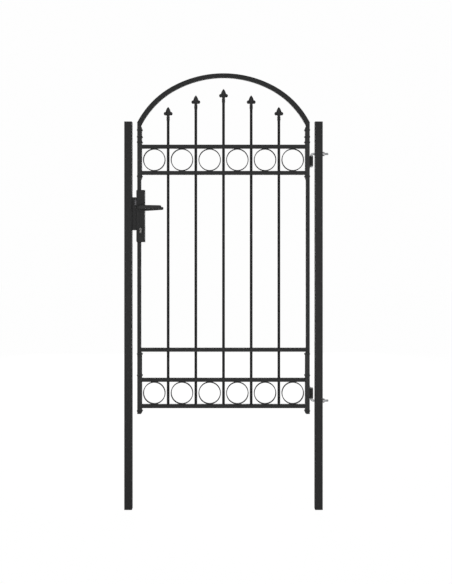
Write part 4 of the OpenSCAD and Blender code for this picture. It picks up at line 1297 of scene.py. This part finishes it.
# latch spring: round wire with closed ends
g = Geo()
x0, x1, y0, y1, z0, z1 = box_mm("latch_spring")
wire = 0.5
coil_r = (z1 - z0) / 2 - wire
cy, cz = (y0 + y1) / 2, (z0 + z1) / 2
turns, per_turn = 11, 28
pitch = (x1 - x0 - 2 * wire - 4 * wire) / (turns - 2)
rings = []
for k in range(turns * per_turn + 1):
    u = k / per_turn
    x = x0 + wire + 2 * wire * min(u, 1) + pitch * min(max(u - 1, 0), turns - 2) + 2 * wire * max(u - turns + 1, 0)
    a = 2 * math.pi * u
    ring = []
    for j in range(10):
        b = 2 * math.pi * j / 10
        q = coil_r + wire * math.cos(b)
        ring.append((x + wire * math.sin(b), cy + q * math.cos(a), cz + q * math.sin(a)))
    rings.append(ring)
g.loft(rings)
spring_ob = piece("coil_spring", g, ZINC, "leaf", ["latch_spring"], sharp=60)
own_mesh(spring_ob)

# dead bolt: a plain bar with a notch for the cam
g = Geo()
x0, x1, y0, y1, z0, z1 = DB_
nx = LOCK_X + 14.5 * math.sin(math.radians(45)) * 0.83
g.loft([[(x, y, z) for y, z in rrect(12.0, z1 - z0 - 7.0, 0.5, 3, 0, (z0 + 7.0 + z1) / 2)] for x in (x0, x1)])
for a, b in ((x0, nx - 4), (nx + 4, x1)):
    g.loft([[(x, y, z) for y, z in rrect(12.0, 7.5, 0.5, 3, 0, z0 + 3.75)] for x in (a, b)])
piece("dead_bolt_bar", g, ZINC_BOLT_SHADED, "deadbolt", ["dead_bolt"], sharp=35, bevel=0.4)


# ------------------------------------------------------------------ CAD nodes that stay

REPLACED = {n for o in PIECES for n in o.get("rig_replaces", [])}
for n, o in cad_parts.items():
    if n in REPLACED:
        continue
    o.data.materials.clear()
    o.data.materials.append(ZINC)
    w = o.modifiers.new("weld", "WELD")
    w.merge_threshold = 1e-6
    if n != "latch_spring":
        b = o.modifiers.new("edge", "BEVEL")
        b.width = 0.0003
        b.segments = 2
        b.limit_method = "ANGLE"
        b.angle_limit = math.radians(40)


# ------------------------------------------------------------------ stage, light, camera

def seen_only(nt, seen, unseen):
    """A value for what is seen directly, and another for the light that a surface gives to its surroundings."""
    path = nt.nodes.new("ShaderNodeLightPath")
    r = nt.nodes.new("ShaderNodeMapRange")
    r.inputs["To Min"].default_value = unseen
    r.inputs["To Max"].default_value = seen
    nt.links.new(path.outputs["Is Camera Ray"], r.inputs["Value"])
    return r.outputs["Result"]


def stage_material():
    """Paper sweep: white where it is seen, and dim in what it throws back on the gate."""
    m, nt, p = new_material("studio_floor")
    v = coords(nt)
    tone = nt.nodes.new("ShaderNodeMix")
    tone.data_type = "RGBA"
    nt.links.new(seen_only(nt, 1.0, 0.0), tone.inputs["Factor"])
    tone.inputs[6].default_value = (0.16, 0.16, 0.16, 1)
    nt.links.new(ramp(nt, noise(nt, 1.5, 2.0, 0.5, v), 0.3, 0.7, (0.018, 0.018, 0.018), (0.024, 0.024, 0.024)), tone.inputs[7])
    nt.links.new(tone.outputs[2], p.inputs["Base Color"])
    p.inputs["Roughness"].default_value = 0.95
    p.inputs["Specular IOR Level"].default_value = 0.05
    p.inputs["Emission Color"].default_value = (1, 1, 1, 1)
    nt.links.new(seen_only(nt, FLOOR_SEEN, 0.35), p.inputs["Emission Strength"])
    return m


FLOOR_SEEN = 0.983
bpy.ops.mesh.primitive_plane_add(size=60, location=(0, 0, -0.0005))
floor = bpy.context.object
floor.name = "floor"
floor.data.materials.append(stage_material())

world = bpy.data.worlds.new("studio")
bpy.context.scene.world = world
world.use_nodes = True
wn = world.node_tree
bg = wn.nodes["Background"]
bg.inputs["Color"].default_value = (1, 1, 1, 1)
bg.inputs["Strength"].default_value = 1.0
wn.links.new(seen_only(wn, 0.99, 0.14), bg.inputs["Strength"])


def area(name, loc, target, size, power):
    d = bpy.data.lights.new(name, "AREA")
    d.shape = "RECTANGLE"
    d.size, d.size_y = size
    d.energy = power
    o = bpy.data.objects.new(name, d)
    bpy.context.scene.collection.objects.link(o)
    o.location = loc
    o.visible_camera = False
    o.rotation_euler = (Vector(target) - Vector(loc)).to_track_quat("-Z", "Y").to_euler()
    return o


area("front", (0.3, -7.0, 1.2), (0, 0, 1.05), (4.6, 4.6), 242)
area("front_low", (0.3, -5.3, 0.5), (0, 0, 0.35), (3.2, 0.9), 45)
area("back", (-0.3, 7.0, 1.5), (0, 0, 1.15), (4.6, 4.6), 200)
area("left", (-6.5, -1.2, 1.8), (0, 0, 1.15), (3.4, 3.4), 105)
area("right", (6.5, -1.2, 1.8), (0, 0, 1.15), (3.4, 3.4), 105)
area("top", (0.0, -1.6, 6.0), (0, 0, 1.2), (3.0, 3.0), 60)

cam_data = bpy.data.cameras.new("camera")
cam = bpy.data.objects.new("camera", cam_data)
bpy.context.scene.collection.objects.link(cam)
cam.location = ((12.9 + SX) * 0.001, -4.480, 1.310)
cam.rotation_euler = (math.radians(90), 0, 0)
cam_data.sensor_fit = "AUTO"
cam_data.sensor_width = 36
cam_data.lens = 867.0 * 36.0 / 584.0
cam_data.shift_y = -36.6 / 584.0
cam_data.dof.use_dof = False
cam_data.clip_end = 200
bpy.context.scene.camera = cam
bpy.context.scene.view_settings.view_transform = "Standard"
bpy.context.scene.view_settings.look = "None"

a, b = CAD_BOX
